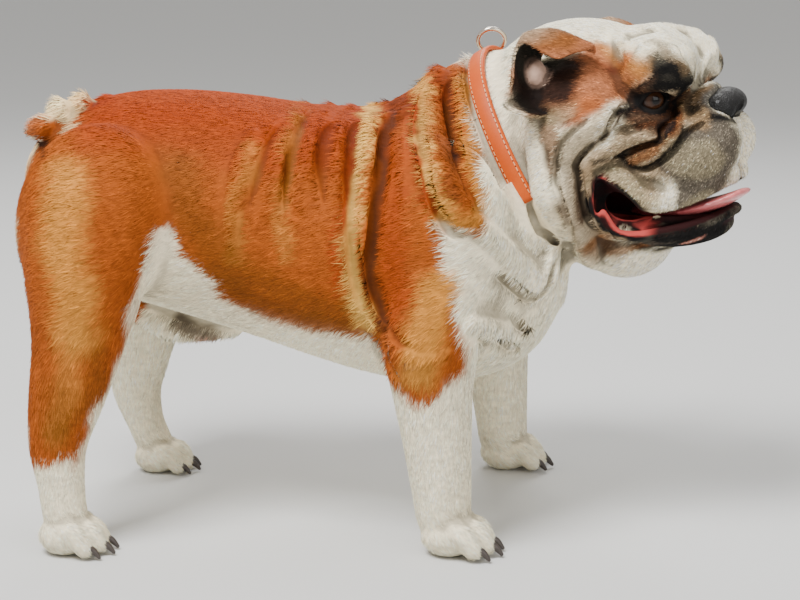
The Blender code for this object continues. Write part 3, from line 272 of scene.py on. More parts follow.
BODY_MARKS = {
    "saddle": ("orange", 1, 0, 8, ((-324, 289), (-326, 326), (-312, 346), (-303, 370), (-298, 411),
        (-222, 427), (-89, 417), (18, 435), (58, 428), (60, 401), (61, 374), (68, 338), (71, 283),
        (51, 281), (33, 291), (35, 268), (45, 236), (52, 203), (58, 168), (43, 162), (25, 139), (10, 135),
        (-2, 154), (-13, 149), (-17, 184), (-46, 191), (-85, 191), (-118, 197), (-143, 212), (-158, 231),
        (-172, 250), (-184, 257), (-187, 269), (-197, 279), (-207, 277), (-209, 251), (-218, 232),
        (-224, 212), (-231, 180), (-280, 79), (-256, 106), (-269, 91), (-294, 85), (-317, 72),
        (-320, 100), (-314, 135), (-318, 193), (-321, 226), (-327, 258))),
    "back": ("rust", 0.75, 22, 26, ((-271, 384), (-219, 384), (-157, 382), (-87, 370), (-44, 371),
        (26, 393))),
    "back 2": ("rust", 0.55, 16, 24, ((-249, 361), (-186, 357), (-109, 342), (-59, 342))),
    "chest side": ("rust", 0.55, 12, 18, ((-4, 344), (-4, 283), (0, 235), (8, 204))),
    # Painted highlights along two of the rib rolls.
    "rib glow": ("tan", 0.35, 6, 12, ((-121, 343), (-137, 295), (-134, 252))),
    "rib glow 2": ("tan", 0.35, 5, 10, ((-85, 364), (-95, 304), (-91, 255))),
    "flank shade": ("brown", 0.55, 16, 20, ((-184, 326), (-168, 281), (-134, 243), (-84, 220), (-42, 209))),
    # Painted shade low on the flank, towards the belly.
    "belly edge": ("brown", 0.55, 8, 10, ((-156, 240), (-119, 209), (-59, 199), (-21, 194))),
    "thigh": ("tan", 0.7, 18, 24, ((-271, 322), (-275, 274), (-267, 234), (-265, 199))),
    "thigh low": ("tan", 0.35, 10, 14, ((-273, 191), (-275, 148), (-289, 113))),
    "hock dark": ("brown", 0.5, 8, 10, ((-250, 181), (-259, 138), (-285, 113))),
    # Painted highlight along the shoulder roll.
    "shoulder roll": ("pale", 0.75, 5, 11, ((-7, 391), (-21, 370), (-28, 351), (-35, 318), (-39, 285),
        (-38, 249), (-33, 219), (-23, 198))),
    # Painted shade along the shoulder crease.
    "shoulder line": ("umber", 0.6, 4, 9, ((4, 381), (-10, 357), (-16, 331), (-20, 297), (-22, 265),
        (-22, 232), (-13, 203))),
    # Painted shade along the crease behind the shoulder.
    "shoulder back": ("rust", 0.7, 3, 4, ((-14, 381), (-33, 369), (-40, 342), (-45, 313), (-49, 273),
        (-48, 231))),
    # Painted highlight along the ruff.
    "ruff": ("pale", 0.5, 7, 14, ((24, 398), (20, 366), (22, 339), (30, 313), (41, 291))),
    "ruff gold": ("tan", 0.6, 7, 14, ((32, 309), (53, 292), (67, 297))),
    # Painted shade along the crease in front of the ruff.
    "ruff line": ("umber", 0.55, 4, 10, ((42, 400), (42, 372), (43, 347), (46, 322), (48, 310))),
    "ruff front": ("tan", 0.6, 4, 5, ((55, 397), (59, 366), (62, 338), (69, 303))),
    # Painted shade along the crease behind the ruff.
    "ruff back line": ("rust", 0.9, 3, 4, ((13, 382), (12, 345), (20, 320), (30, 299))),
    "breast grey": ("slate", 0.35, 3, 6, ((80, 246), (84, 237), (86, 225))),
    "neck shade": ("greytan", 0.4, 4, 6, ((114, 289), (130, 274), (142, 255))),
    "upper arm": ("tan", 0.75, 16, 18, ((33, 237), (24, 204), (16, 170))),
    "hock": ("brown", 0.45, 14, 18, ((-285, 150), (-290, 110))),
    "sheath": ("umber", 0.8, 8, 8, ((-196, 180), (-180, 168), (-166, 166))),
    "sheath pink": ("dullpink", 0.6, 4, 5, ((-180, 160), (-168, 160))),
    "tail ridge": ("rust", 0.8, 7, 7, ((-250, 384), (-262, 378))),
    "tail cream": ("cream", 0.95, 0, 5, ((-272, 364), (-270, 392), (-288, 396), (-304, 390), (-310, 372),
        (-300, 364),
        (-284, 358))),
    "tail hump": ("tan", 0.5, 4, 5, ((-277, 380), (-279, 366))),
    "tail tip": ("orange", 0.95, 11, 4, ((-309, 357), (-308, 356))),
    # Painted shadow under the tail.
    "tail under": ("umber", 0.9, 3.5, 4, ((-320, 345), (-308, 342), (-296, 344))),
    "rump edge": ("cream", 0.85, 4, 8, ((-327, 258), (-329, 299), (-325, 330), (-317, 346))),
}

PALETTE = {
    "white": (0.965, 0.915, 0.79), "cream": (0.93, 0.82, 0.62), "pale": (0.965, 0.77, 0.385),
    "tan": (0.769, 0.528, 0.215), "orange": (0.60, 0.29, 0.075), "rust": (0.555, 0.183, 0.02),
    "brown": (0.433, 0.249, 0.074), "umber": (0.223, 0.13, 0.074), "black": (0.055, 0.05, 0.05),
    "pepper": (0.27, 0.24, 0.21), "palegrey": (0.613, 0.563, 0.441), "slate": (0.233, 0.228, 0.227),
    "greytan": (0.50, 0.40, 0.28), "ropebrown": (0.451, 0.285, 0.157), "dullpink": (0.72, 0.48, 0.42),
    "gum": (0.7, 0.27, 0.25), "mouth_shade": (0.15, 0.05, 0.05), "earpink": (0.8, 0.66, 0.58),
}

# Root, bend and free edge of the ear's leather, from its front root round to its tip
EAR = (
    ((0.070, 0.068, 0.058), (0.074, 0.084, 0.069), (0.072, 0.087, 0.063)),
    ((0.058, 0.068, 0.062), (0.057, 0.090, 0.082), (0.059, 0.099, 0.059)),
    ((0.046, 0.069, 0.066), (0.040, 0.092, 0.092), (0.049, 0.107, 0.055)),
    ((0.036, 0.071, 0.066), (0.027, 0.092, 0.093), (0.037, 0.110, 0.060)),
    ((0.028, 0.073, 0.060), (0.013, 0.094, 0.085), (0.023, 0.112, 0.068)),
    ((0.024, 0.075, 0.052), (0.009, 0.096, 0.066), (0.0155, 0.114, 0.061)),
    ((0.024, 0.077, 0.042), (0.009, 0.100, 0.048), (0.0147, 0.118, 0.049)),
    ((0.026, 0.078, 0.032), (0.012, 0.104, 0.032), (0.015, 0.122, 0.035)),
    ((0.030, 0.079, 0.022), (0.017, 0.107, 0.017), (0.010, 0.127, 0.019)),
    ((0.036, 0.080, 0.016), (0.028, 0.106, 0.006), (0.024, 0.121, 0.012)),
    ((0.042, 0.080, 0.016), (0.040, 0.098, 0.006), (0.035, 0.112, 0.011)),
)
EAR_THICKNESS = 0.0044
EAR_HEART = np.array((0.045, 0.095, 0.045))
EAR_KNOB = np.array((0.0235, 0.086, 0.042))

# The gap between the lips and the rim of the lower lip, from the corner to the front: x, y, z, radius
MOUTH = (
    (0.0830, 0.094, -0.0480, 0.0050), (0.0875, 0.091, -0.0600, 0.0125), (0.0960, 0.086, -0.0710, 0.0145),
    (0.1080, 0.079, -0.0790, 0.0110), (0.1235, 0.072, -0.0805, 0.0080), (0.1400, 0.062, -0.0775, 0.0080),
    (0.1570, 0.047, -0.0710, 0.0088), (0.1720, 0.025, -0.0625, 0.0100), (0.1780, 0.000, -0.0580, 0.0110),
)
LOWER_LIP = (
    (0.0860, 0.0940, -0.0700, 0.0040), (0.0960, 0.0885, -0.0870, 0.0050), (0.1100, 0.0790, -0.0905, 0.0055),
    (0.1240, 0.0690, -0.0890, 0.0055), (0.1390, 0.0590, -0.0860, 0.0055), (0.1550, 0.0455, -0.0820, 0.0055),
    (0.1680, 0.0260, -0.0770, 0.0055), (0.1730, 0.0000, -0.0745, 0.0055),
)


def head_frame():
    return Matrix.Translation(HEAD_AT) @ Matrix.Rotation(math.radians(HEAD_TURN), 4, "Z")


def placed(name, data):
    """A new object in the scene."""
    obj = bpy.data.objects.new(name, data)
    bpy.context.scene.collection.objects.link(obj)
    return obj


def from_bmesh(mesh, name):
    """A new object in the scene that takes over the shape."""
    data = bpy.data.meshes.new(name)
    mesh.to_mesh(data)
    mesh.free()
    return placed(name, data)


class Clay:
    """Closed shapes gathered in one mesh, to be fused into one skin."""

    def __init__(self, place=None):
        self.mesh = bmesh.new()
        self.place = place or Matrix.Identity(4)

    def ball(self, at, size, turn=(0, 0, 0), rounds=4):
        turned = Euler([math.radians(a) for a in turn]).to_matrix().to_4x4()
        where = self.place @ Matrix.Translation(at) @ turned @ Matrix.Diagonal((*size, 1.0))
        bmesh.ops.create_icosphere(self.mesh, subdivisions=rounds, radius=1.0, matrix=where)

    def pair(self, at, size, turn=(0, 0, 0), rounds=4):
        for side in (1, -1):
            self.ball((at[0], at[1] * side, at[2]), size, (turn[0] * side, turn[1], turn[2] * side), rounds)

    def skinned(self, rings):
        made = [[self.mesh.verts.new(self.place @ point) for point in ring] for ring in rings]
        count = len(made[0])
        for one, two in zip(made, made[1:]):
            for k in range(count):
                j = (k + 1) % count
                self.mesh.faces.new((one[k], one[j], two[j], two[k]))
        self.mesh.faces.new(made[0][::-1])
        self.mesh.faces.new(made[-1])

    def rope(self, stations, wide=1.0, facing=(0, 0, 1), sides=14, steps=5):
        """A round-ended tube through stations of x, y, z and radius; wide stretches it across facing."""
        path = smooth_path([Vector(s) for s in stations], steps)
        points, radii = rounded_ends([Vector(p[:3]) for p in path], [p[3] for p in path])
        face = Vector(facing)
        rings = []
        for i, (point, radius) in enumerate(zip(points, radii)):
            along = (points[min(i + 1, len(points) - 1)] - points[max(i - 1, 0)]).normalized()
            high = (face - along * face.dot(along)).normalized()
            across = along.cross(high)
            rings.append([point + across * (math.cos(a) * radius * wide) + high * (math.sin(a) * radius)
                          for a in (math.tau * k / sides for k in range(sides))])
        self.skinned(rings)

    def ropes(self, stations, facing=(0, 0, 1), **how):
        for side in (1, -1):
            mirrored = [(x, y * side, z, r) for x, y, z, r in stations]
            self.rope(mirrored, facing=(facing[0], facing[1] * side, facing[2]), **how)

    def loft(self, stations, sides=32, steps=5, power=2.3):
        """A rounded-box tube through stations of x, top, bottom and half width."""
        rings = []
        for x, top, bottom, half in smooth_path([Vector(s) for s in stations], steps):
            middle = (top + bottom) / 2
            ring = []
            for k in range(sides):
                a = math.tau * k / sides
                u = math.copysign(abs(math.cos(a)) ** (2 / power), math.cos(a))
                v = math.copysign(abs(math.sin(a)) ** (2 / power), math.sin(a))
                ring.append(Vector((x, u * half, middle + v * (top - middle))))
            rings.append(ring)
        self.skinned(rings)

    def object(self, name):
        bmesh.ops.recalc_face_normals(self.mesh, faces=self.mesh.faces)
        return from_bmesh(self.mesh, name)

    def fused(self, name, voxel, rounds):
        return fuse(self.object(name), voxel, rounds)


def smooth_path(points, steps):
    """Points along a smooth curve through the ones given."""
    out = []
    last = len(points) - 1
    for i in range(last):
        two, three = points[i], points[i + 1]
        one = points[i - 1] if i else two * 2 - three
        four = points[i + 2] if i + 2 <= last else three * 2 - two
        for k in range(steps):
            t = k / steps
            out.append(0.5 * (2 * two + (three - one) * t + (2 * one - 5 * two + 4 * three - four) * t * t
                              + (3 * two - one - 3 * three + four) * t ** 3))
    out.append(points[-1])
    return out


def rounded_ends(points, radii, count=4):
    """The path with a half-ball of narrowing stations at each end."""
    start, end = [], []
    for at, step, cap in ((0, 1, start), (-1, -1, end)):
        out = (points[at] - points[at + step]).normalized()
        for k in range(1, count + 1):
            a = math.pi / 2 * k / (count + 0.3)
            cap.append((points[at] + out * (math.sin(a) * radii[at]), radii[at] * math.cos(a)))
    caps = start[::-1] + list(zip(points, radii)) + end
    return [c[0] for c in caps], [c[1] for c in caps]


def plain(obj):
    """The object with its modifiers applied."""
    graph = bpy.context.evaluated_depsgraph_get()
    mesh = bpy.data.meshes.new_from_object(obj.evaluated_get(graph))
    name, old = obj.name, obj.data
    bpy.data.objects.remove(obj)
    bpy.data.meshes.remove(old)
    return placed(name, mesh)


def fuse(obj, voxel, rounds):
    """One closed skin round everything in the object, softened."""
    remesh = obj.modifiers.new("fuse", "REMESH")
    remesh.mode = "VOXEL"
    remesh.voxel_size = voxel
    remesh.use_smooth_shade = True
    if rounds:
        soften = obj.modifiers.new("soften", "SMOOTH")
        soften.factor = 0.5
        soften.iterations = rounds
    return plain(obj)


def joined(obj, tool, operation, solver="MANIFOLD"):
    """The object after a Boolean with a tool, which stays."""
    boolean = obj.modifiers.new("cut", "BOOLEAN")
    boolean.operation = operation
    boolean.solver = solver
    boolean.object = tool
    return plain(obj)


def trunk(clay):
    clay.loft((
        (-0.330, 0.325, 0.280, 0.030),
        (-0.315, 0.348, 0.238, 0.066),
        (-0.285, 0.370, 0.214, 0.092),
        (-0.240, 0.383, 0.200, 0.106),
        (-0.185, 0.385, 0.183, 0.106),
        (-0.130, 0.380, 0.166, 0.118),
        (-0.075, 0.372, 0.148, 0.136),
        (-0.020, 0.370, 0.132, 0.143),
        (0.035, 0.376, 0.125, 0.140),
        (0.085, 0.372, 0.133, 0.128),
        (0.122, 0.350, 0.156, 0.104),
        (0.148, 0.310, 0.198, 0.064),
    ))


def neck(clay):
    clay.rope([(0.020, 0, 0.286, 0.092), (0.055, 0, 0.304, 0.094), (0.092, -0.003, 0.326, 0.094),
               (0.125, -0.012, 0.338, 0.088), (0.160, -0.024, 0.350, 0.070)], sides=24)


def front_leg(clay, side, x):
    y = 0.128 * side
    clay.ball((x - 0.005, 0.112 * side, 0.262), (0.066, 0.047, 0.092), (0, 12, 0))
    clay.rope([(x - 0.006, 0.118 * side, 0.235, 0.0490), (x - 0.010, y, 0.190, 0.0455),
               (x - 0.009, y, 0.150, 0.0375),
               (x - 0.005, y, 0.105, 0.0320), (x - 0.001, y, 0.060, 0.0280), (x + 0.001, y, 0.034, 0.0260)],
              facing=(1, 0, 0))


def hind_legs(clay):
    clay.ball((-0.259, -0.088, 0.280), (0.068, 0.047, 0.086), (0, 10, 0))
    clay.rope([(-0.266, -0.095, 0.290, 0.0550), (-0.266, -0.105, 0.235, 0.0530),
               (-0.273, -0.112, 0.180, 0.0415),
               (-0.283, -0.118, 0.135, 0.0345), (-0.291, -0.121, 0.096, 0.0275), (-0.289, -0.124, 0.058,
                                                                                  0.0220),
               (-0.286, -0.126, 0.030, 0.0215)], wide=0.88, facing=(1, 0, 0))
    clay.ball((-0.250, 0.085, 0.275), (0.068, 0.047, 0.088), (0, -12, 0))
    clay.rope([(-0.254, 0.090, 0.280, 0.0530), (-0.248, 0.100, 0.225, 0.0500),
               (-0.246, 0.108, 0.165, 0.0400),
               (-0.252, 0.112, 0.120, 0.0320), (-0.256, 0.116, 0.084, 0.0260), (-0.249, 0.118, 0.052,
                                                                                0.0205),
               (-0.241, 0.120, 0.030, 0.0200)], wide=0.88, facing=(1, 0, 0))


def tail(clay):
    """The root of a short screw tail that lies over the rump."""
    clay.rope([(-0.240, 0.000, 0.3540, 0.0220), (-0.262, -0.009, 0.3600, 0.0165),
               (-0.284, -0.025, 0.3610, 0.0130),
               (-0.303, -0.040, 0.3560, 0.0105)])


def tail_turns(clay):
    """The three turns of the tail and the ridge ahead of them."""
    clay.ball((-0.258, -0.010, 0.3680), (0.0190, 0.0130, 0.0140), (0, -20, 30))
    clay.ball((-0.2790, -0.024, 0.3715), (0.0118, 0.0160, 0.0150), (0, 20, 30))
    clay.ball((-0.2950, -0.034, 0.3675), (0.0112, 0.0150, 0.0150), (0, 0, 30))
    clay.ball((-0.3085, -0.045, 0.3560), (0.0148, 0.0140, 0.0125), (0, -20, 30))


def skull(clay):
    clay.ball((0.038, 0, 0.022), (0.084, 0.082, 0.0620))
    clay.ball((0.094, 0, 0.042), (0.046, 0.056, 0.0385))
    clay.pair((0.114, 0.043, 0.046), (0.033, 0.030, 0.030))
    clay.pair((0.050, 0.066, -0.006), (0.050, 0.038, 0.058))
    clay.pair((0.100, 0.048, 0.002), (0.024, 0.024, 0.018))
    clay.pair(EYE_AT, (EYE_RADIUS + 0.0022,) * 3)
    # muzzle and flews
    clay.ball((0.122, 0, 0.002), (0.044, 0.030, 0.030))
    clay.pair((0.128, 0.034, -0.028), (0.049, 0.039, 0.037))
    clay.pair((0.152, 0.024, -0.017), (0.034, 0.027, 0.031))
    # cheeks, lower jaw and dewlap
    clay.ball((0.090, 0, -0.040), (0.060, 0.076, 0.040))
    clay.pair((0.060, 0.064, -0.052), (0.042, 0.038, 0.052))
    clay.ball((0.112, 0, -0.086), (0.062, 0.070, 0.024))
    clay.ball((0.066, 0, -0.090), (0.046, 0.068, 0.046))
    clay.ball((0.080, 0, -0.100), (0.042, 0.058, 0.041))


def paw_place(x, y, turn, size):
    return (Matrix.Translation((x, y, -PAW_SINK)) @ Matrix.Rotation(math.radians(turn), 4, "Z")
            @ Matrix.Scale(size, 4))


def paw(clay, *where):
    """Four toes ahead of a pad."""
    hold = clay.place
    clay.place = hold @ paw_place(*where)
    clay.ball((0.002, 0, 0.020), (0.026, 0.027, 0.020))
    for toe_x, toe_y in TOES:
        clay.rope([(0.004, toe_y * 0.6, 0.0270, 0.0120), (toe_x - 0.008, toe_y * 0.95, 0.0255, 0.0114),
                   (toe_x + 0.001, toe_y, 0.0140, 0.0102)], sides=12, steps=3)
    clay.place = hold


def claws(clay, *where):
    hold = clay.place
    clay.place = hold @ paw_place(*where)
    for toe_x, toe_y in TOES:
        clay.rope([(toe_x + 0.002, toe_y, 0.0150, 0.0040), (toe_x + 0.010, toe_y * 1.03, 0.0120, 0.0034),
                   (toe_x + 0.0155, toe_y * 1.06, 0.0060, 0.0018)], sides=8, steps=3)
    clay.place = hold


def tree_of(obj):
    mesh = bmesh.new()
    mesh.from_mesh(obj.data)
    tree = BVHTree.FromBMesh(mesh)
    mesh.free()
    return tree


def on_face(tree, azimuth, height, side):
    """The skin's point and normal in a direction from the core of the face."""
    a, h = math.radians(azimuth), math.radians(height)
    frame = head_frame()
    out = frame.to_3x3() @ Vector((math.cos(a) * math.cos(h), side * math.sin(a) * math.cos(h),
                                   math.sin(h)))
    return tree.ray_cast(frame @ FACE_CORE + out * 0.3, -out)[:2]


def on_body(tree, x, angle, side):
    """The skin's point and normal at x millimetres along the trunk, angle degrees down from the back."""
    a = math.radians(angle)
    out = Vector((0, side * math.sin(a), math.cos(a)))
    axis = Vector((x * MM, 0, BARREL_HEIGHT))
    hit = tree.ray_cast(axis + out * 0.4, -out)
    return hit[:2] if hit[0] else tree.find_nearest(axis + out * 0.13)[:2]


def folds(clay, tree, table, find, raised):
    """A tube along each fold's path, standing out of the skin or sunk in it, on both sides."""
    ends = (0.6, 0.9) if raised else (0.25, 0.8)
    narrow = 1.0 if raised or find is on_body else 0.65
    for radius, height, path in table.values():
        for side in (-1, 1):
            found = [find(tree, a, b, side) for a, b in path]
            stations = []
            for k, (point, normal) in enumerate(found):
                share = (*ends, 1.0)[min(k, len(found) - 1 - k, 2)]
                r, h = radius * share * MM / narrow, height * share * MM
                stations.append((*(point + normal * (h - r if raised else r - h)), r))
            facing = sum((normal for point, normal in found), Vector()).normalized()
            clay.rope(stations, facing=facing, sides=12, wide=narrow)


def mirrored(stations):
    """Stations from the right corner round the front to the left corner."""
    return [(x, -y, z, r) for x, y, z, r in stations] + list(stations[-2::-1])


def eye_axes(side):
    eye = Vector((EYE_AT.x, EYE_AT.y * side, EYE_AT.z))
    gaze = Vector((EYE_GAZE.x, EYE_GAZE.y * side, EYE_GAZE.z))
    outer = gaze.cross(Vector((0, 0, 1))).normalized() * -side
    return eye, gaze, outer, gaze.cross(outer).normalized() * side


def lid_point(side, across, up, reach):
    """A point over the eye, across and up in radians from its gaze, in the tilted lids' own directions."""
    eye, gaze, outer, rise = eye_axes(side)
    tilt = math.radians(-EYE_TILT)
    h = across * math.cos(tilt) - up * math.sin(tilt)
    v = across * math.sin(tilt) + up * math.cos(tilt)
    way = gaze * math.cos(h) * math.cos(v) + outer * math.sin(h) * math.cos(v) + rise * math.sin(v)
    return eye + way * reach


def lids(clay):
    for side in (1, -1):
        for lift, radius in ((40, 0.0027), (-38, 0.0023)):
            stations = []
            for k in range(9):
                across = math.radians(-70 + 140 * k / 8)
                up = math.radians(lift) * math.sin(math.pi * k / 8)
                stations.append((*lid_point(side, across, up, EYE_RADIUS + 0.0014), radius))
            clay.rope(stations, facing=eye_axes(side)[1], sides=10, steps=3)


def eye_openings(clay):
    """The ball of each eye and the almond between its lids."""
    hold = clay.place
    for side in (1, -1):
        eye, gaze, outer, rise = eye_axes(side)
        clay.ball(eye, (EYE_RADIUS + GAP,) * 3)
        axes = Matrix((outer * side, rise, gaze)).transposed().to_4x4()
        clay.place = hold @ Matrix.Translation(eye + gaze * EYE_RADIUS * 0.9) @ axes
        clay.ball((0, 0, 0), (*LID_OPENING, 0.012), (0, 0, -EYE_TILT * side))
        clay.place = hold


def mouth(clay):
    clay.rope(mirrored(MOUTH), wide=1.2)
    clay.ball((0.105, 0, -0.068), (0.066, 0.072, 0.013))
    clay.pair((0.098, 0.056, -0.064), (0.020, 0.026, 0.016))


def collar_ring(tree, angle):
    """The skin's point under the collar, and the way out from it, at an angle from the nape."""
    rise = (Vector((0, 0, 1)) - COLLAR_AXIS * COLLAR_AXIS.z).normalized()
    across = COLLAR_AXIS.cross(rise)
    a = math.radians(angle)
    out = rise * math.cos(a) + across * math.sin(a)
    return tree.ray_cast(COLLAR_CORE + out * 0.25, -out)[0], out


def collar_radii(tree):
    """The collar's distance from its core at each step round the neck from the nape, evened out."""
    count = 360 // COLLAR_STEP
    found = [collar_ring(tree, COLLAR_STEP * k) for k in range(count)]
    radii = [(point - COLLAR_CORE).dot(out) for point, out in found]
    for sweep in range(COLLAR_SWEEPS):
        radii = [(radii[k - 1] + 2 * radii[k] + radii[(k + 1) % count]) / 4 for k in range(count)]
    return radii


def collar_strip(tree, reach, low, high, half_low, half_high):
    """A strap round the neck between two heights above the skin."""
    clay = Clay()
    radii = collar_radii(tree)
    rings = []
    for k in range(-int(reach / COLLAR_STEP), int(reach / COLLAR_STEP) + 1):
        out = collar_ring(tree, COLLAR_STEP * k)[1]
        point = COLLAR_CORE + out * radii[k]
        rings.append([point + out * h + COLLAR_AXIS * w for h, w in
                      ((low, -half_low), (high, -half_high), (high, half_high), (low, half_low))])
    clay.skinned(rings)
    return clay


def masses():
    """The body's large forms as one soft skin."""
    clay = Clay()
    trunk(clay)
    neck(clay)
    for side, x in FRONT_FEET:
        front_leg(clay, side, x)
    hind_legs(clay)
    tail(clay)
    clay.place = head_frame()
    skull(clay)
    return clay.fused("masses", 0.004, 10)


def ear(side):
    """A folded sheet of leather, cupped towards the front and hanging at its tip."""
    roots, bends, edges = (smooth_path([Vector(row[k]) for row in EAR], 4) for k in range(3))
    mesh = bmesh.new()
    rows = []
    frame = head_frame()
    across = 10
    for root, bend, edge in zip(roots, bends, edges):
        row = []
        for j in range(across + 1):
            t = j / across
            point = root * (1 - t) ** 2 + bend * (2 * t * (1 - t)) + edge * t * t
            row.append(mesh.verts.new(frame @ Vector((point.x, point.y * side, point.z))))
        rows.append(row)
    for one, two in zip(rows, rows[1:]):
        for j in range(across):
            mesh.faces.new((one[j], one[j + 1], two[j + 1], two[j]))
    obj = from_bmesh(mesh, "ear")
    thick = obj.modifiers.new("thick", "SOLIDIFY")
    thick.thickness = EAR_THICKNESS
    thick.offset = 0
    return fuse(plain(obj), 0.0012, 4)


def nose_leather():
    clay = Clay(head_frame())
    clay.ball((0.1650, 0, 0.0165), (0.0160, 0.0205, 0.0125))
    clay.pair((0.1615, 0.0140, 0.0115), (0.0145, 0.0122, 0.0128))
    nose = clay.fused("nose", 0.001, 4)
    cutter = Clay(head_frame())
    cutter.ropes([(0.1815, 0.0075, 0.0200, 0.0018), (0.1790, 0.0100, 0.0135, 0.0034),
                  (0.1740, 0.0145, 0.0065, 0.0036),
                  (0.1680, 0.0205, 0.0035, 0.0026), (0.1610, 0.0255, 0.0045, 0.0014)], facing=(0, 1,
                                                                                               1), sides=10)
    nostrils = cutter.object("nostrils")
    nose = joined(nose, nostrils, "DIFFERENCE")
    bpy.data.objects.remove(nostrils)
    return nose


def tongue():
    clay = Clay(head_frame())
    clay.rope([(0.098, -0.002, -0.0775, 0.0050), (0.118, -0.008, -0.0775, 0.0062),
               (0.142, -0.014, -0.0740, 0.0064),
               (0.160, -0.018, -0.0685, 0.0058), (0.175, -0.021, -0.0620, 0.0044), (0.186, -0.023,
                                                                                    -0.0560, 0.0030)],
              wide=5.2)
    return clay.fused("tongue", 0.0014, 3)


def eyeball(side):
    bpy.ops.mesh.primitive_uv_sphere_add(segments=64, ring_count=32, radius=EYE_RADIUS,
                                         location=head_frame() @ Vector((EYE_AT.x, EYE_AT.y * side,
                                                                         EYE_AT.z)))
    return bpy.context.object


def whole():
    """The dog's whole skin, ears included, and the smooth form that its collar is laid on."""
    base = masses()
    tree = tree_of(base)
    clay = Clay()
    clay.mesh.from_mesh(base.data)
    folds(clay, tree, BODY_ROLLS, on_body, True)
    folds(clay, tree, FACE_ROLLS, on_face, True)
    for where in PAWS:
        paw(clay, *where)
    tail_turns(clay)
    clay.rope([(-0.235, 0, 0.195, 0.020), (-0.205, 0, 0.176, 0.019), (-0.180, 0, 0.172, 0.016),
               (-0.150, 0, 0.172, 0.012)])
    clay.place = head_frame()
    clay.rope([(0.141, -0.025, 0.007, 0.0075), (0.1485, -0.015, 0.0205, 0.0083), (0.151, 0, 0.0248, 0.0085),
               (0.1485, 0.015, 0.0205, 0.0083), (0.141, 0.025, 0.007, 0.0075)], facing=(1, 0, 1))
    clay.pair(EYE_AT, (EYE_RADIUS + 0.0030,) * 3)
    clay.ropes([(x, y - 0.0045, z + r + 0.0090, 0.0135) for x, y, z, r in MOUTH[2:8]], wide=0.58)
    skin = clay.fused("rolls", 0.0018, 6)

    cutter = Clay()
    rolls = tree_of(skin)
    folds(cutter, rolls, BODY_CREASES, on_body, False)
    folds(cutter, rolls, FACE_CREASES, on_face, False)
    cutter.place = head_frame()
    eye_openings(cutter)
    mouth(cutter)
    skin = joined(skin, cutter.fused("creases", 0.0012, 0), "DIFFERENCE")
    clay = Clay(head_frame())
    clay.mesh.from_mesh(skin.data)
    clay.rope(mirrored(LOWER_LIP))
    clay.pair((0.0235, 0.086, 0.042), (0.008, 0.013, 0.012))
    skin = clay.fused("soft", 0.0014, 4)
    half = COLLAR_WIDTH / 2
    channel = collar_strip(tree, COLLAR_REACH, -0.0022, 0.026, half + 0.0022,
                           half + 0.007).object("channel")
    skin = joined(skin, channel, "DIFFERENCE")
    clay = Clay(head_frame())
    clay.mesh.from_mesh(skin.data)
    lids(clay)
    for side in (1, -1):
        clay.mesh.from_mesh(ear(side).data)
    return clay.fused("skin", 0.0014, 2), tree


def arrays(obj):
    """Vertex places and normals, and triangles, of a mesh of triangles."""
    mesh = obj.data
    count = len(mesh.vertices)
    places = np.empty(count * 3, np.float32)
    mesh.vertices.foreach_get("co", places)
    normals = np.empty(count * 3, np.float32)
    mesh.vertices.foreach_get("normal", normals)
    mesh.calc_loop_triangles()
    triangles = np.empty(len(mesh.loop_triangles) * 3, np.int32)
    mesh.loop_triangles.foreach_get("vertices", triangles)
    return places.reshape(-1, 3).astype(float), normals.reshape(-1,
                                                                3).astype(float), triangles.reshape(-1, 3)


def ramp(value, low, high):
    """0 below low, 1 above high, smooth between; low may be the larger."""
    t = np.clip((value - low) / (high - low), 0, 1)
    return t * t * (3 - 2 * t)


def ripple(points, size, seed):
    """Smooth random values near -1 to 1 that change over the given size in metres."""
    rng = np.random.default_rng(seed)
    total = np.zeros(len(points))
    for k in range(10):
        way = rng.normal(size=3)
        way *= math.tau / (size * rng.uniform(0.8, 2.2)) / np.linalg.norm(way)
        total += np.sin(points @ way + rng.uniform(0, math.tau))
    return total / 3.2


def turned(ways, degrees):
    """The ways, turned about the upright axis."""
    turn = math.radians(degrees)
    return np.stack((ways[:, 0] * math.cos(turn) - ways[:, 1] * math.sin(turn),
                     ways[:, 0] * math.sin(turn) + ways[:, 1] * math.cos(turn), ways[:, 2]), axis=1)


def in_head(points):
    """The points in the head's own frame."""
    return turned(points - np.array(HEAD_AT), -HEAD_TURN)


def one_side(points):
    """The points with the right half of the head laid on the left."""
    return np.stack((points[:, 0], np.abs(points[:, 1]), points[:, 2]), axis=1)


def path_gap(points, path, radii=None):
    """The distance of each point from a path, in the plane or in space, or from the tube round it."""
    best = np.full(len(points), 1e9)
    radii = radii or [0] * len(path)
    for a, b, start, end in zip(path, path[1:], radii, radii[1:]):
        a, b = np.array(a, float), np.array(b, float)
        along = b - a
        t = np.clip(((points - a) @ along) / max(along @ along, 1e-9), 0, 1)
        away = np.linalg.norm(points - a - t[:, None] * along, axis=1)
        best = np.minimum(best, away - (start + (end - start) * t))
    return best


def mouth_gap(side):
    """The distance of each point of one side of the head from the gap between the lips."""
    return path_gap(side, [m[:3] for m in MOUTH], [m[3] for m in MOUTH])


def inside(points, path):
    x, y = points[:, 0], points[:, 1]
    out = np.zeros(len(points), bool)
    for (xa, ya), (xb, yb) in zip(path, path[1:] + path[:1]):
        if ya == yb:
            continue
        crosses = (ya > y) != (yb > y)
        out ^= crosses & (x < (xb - xa) * (y - ya) / (yb - ya) + xa)
    return out


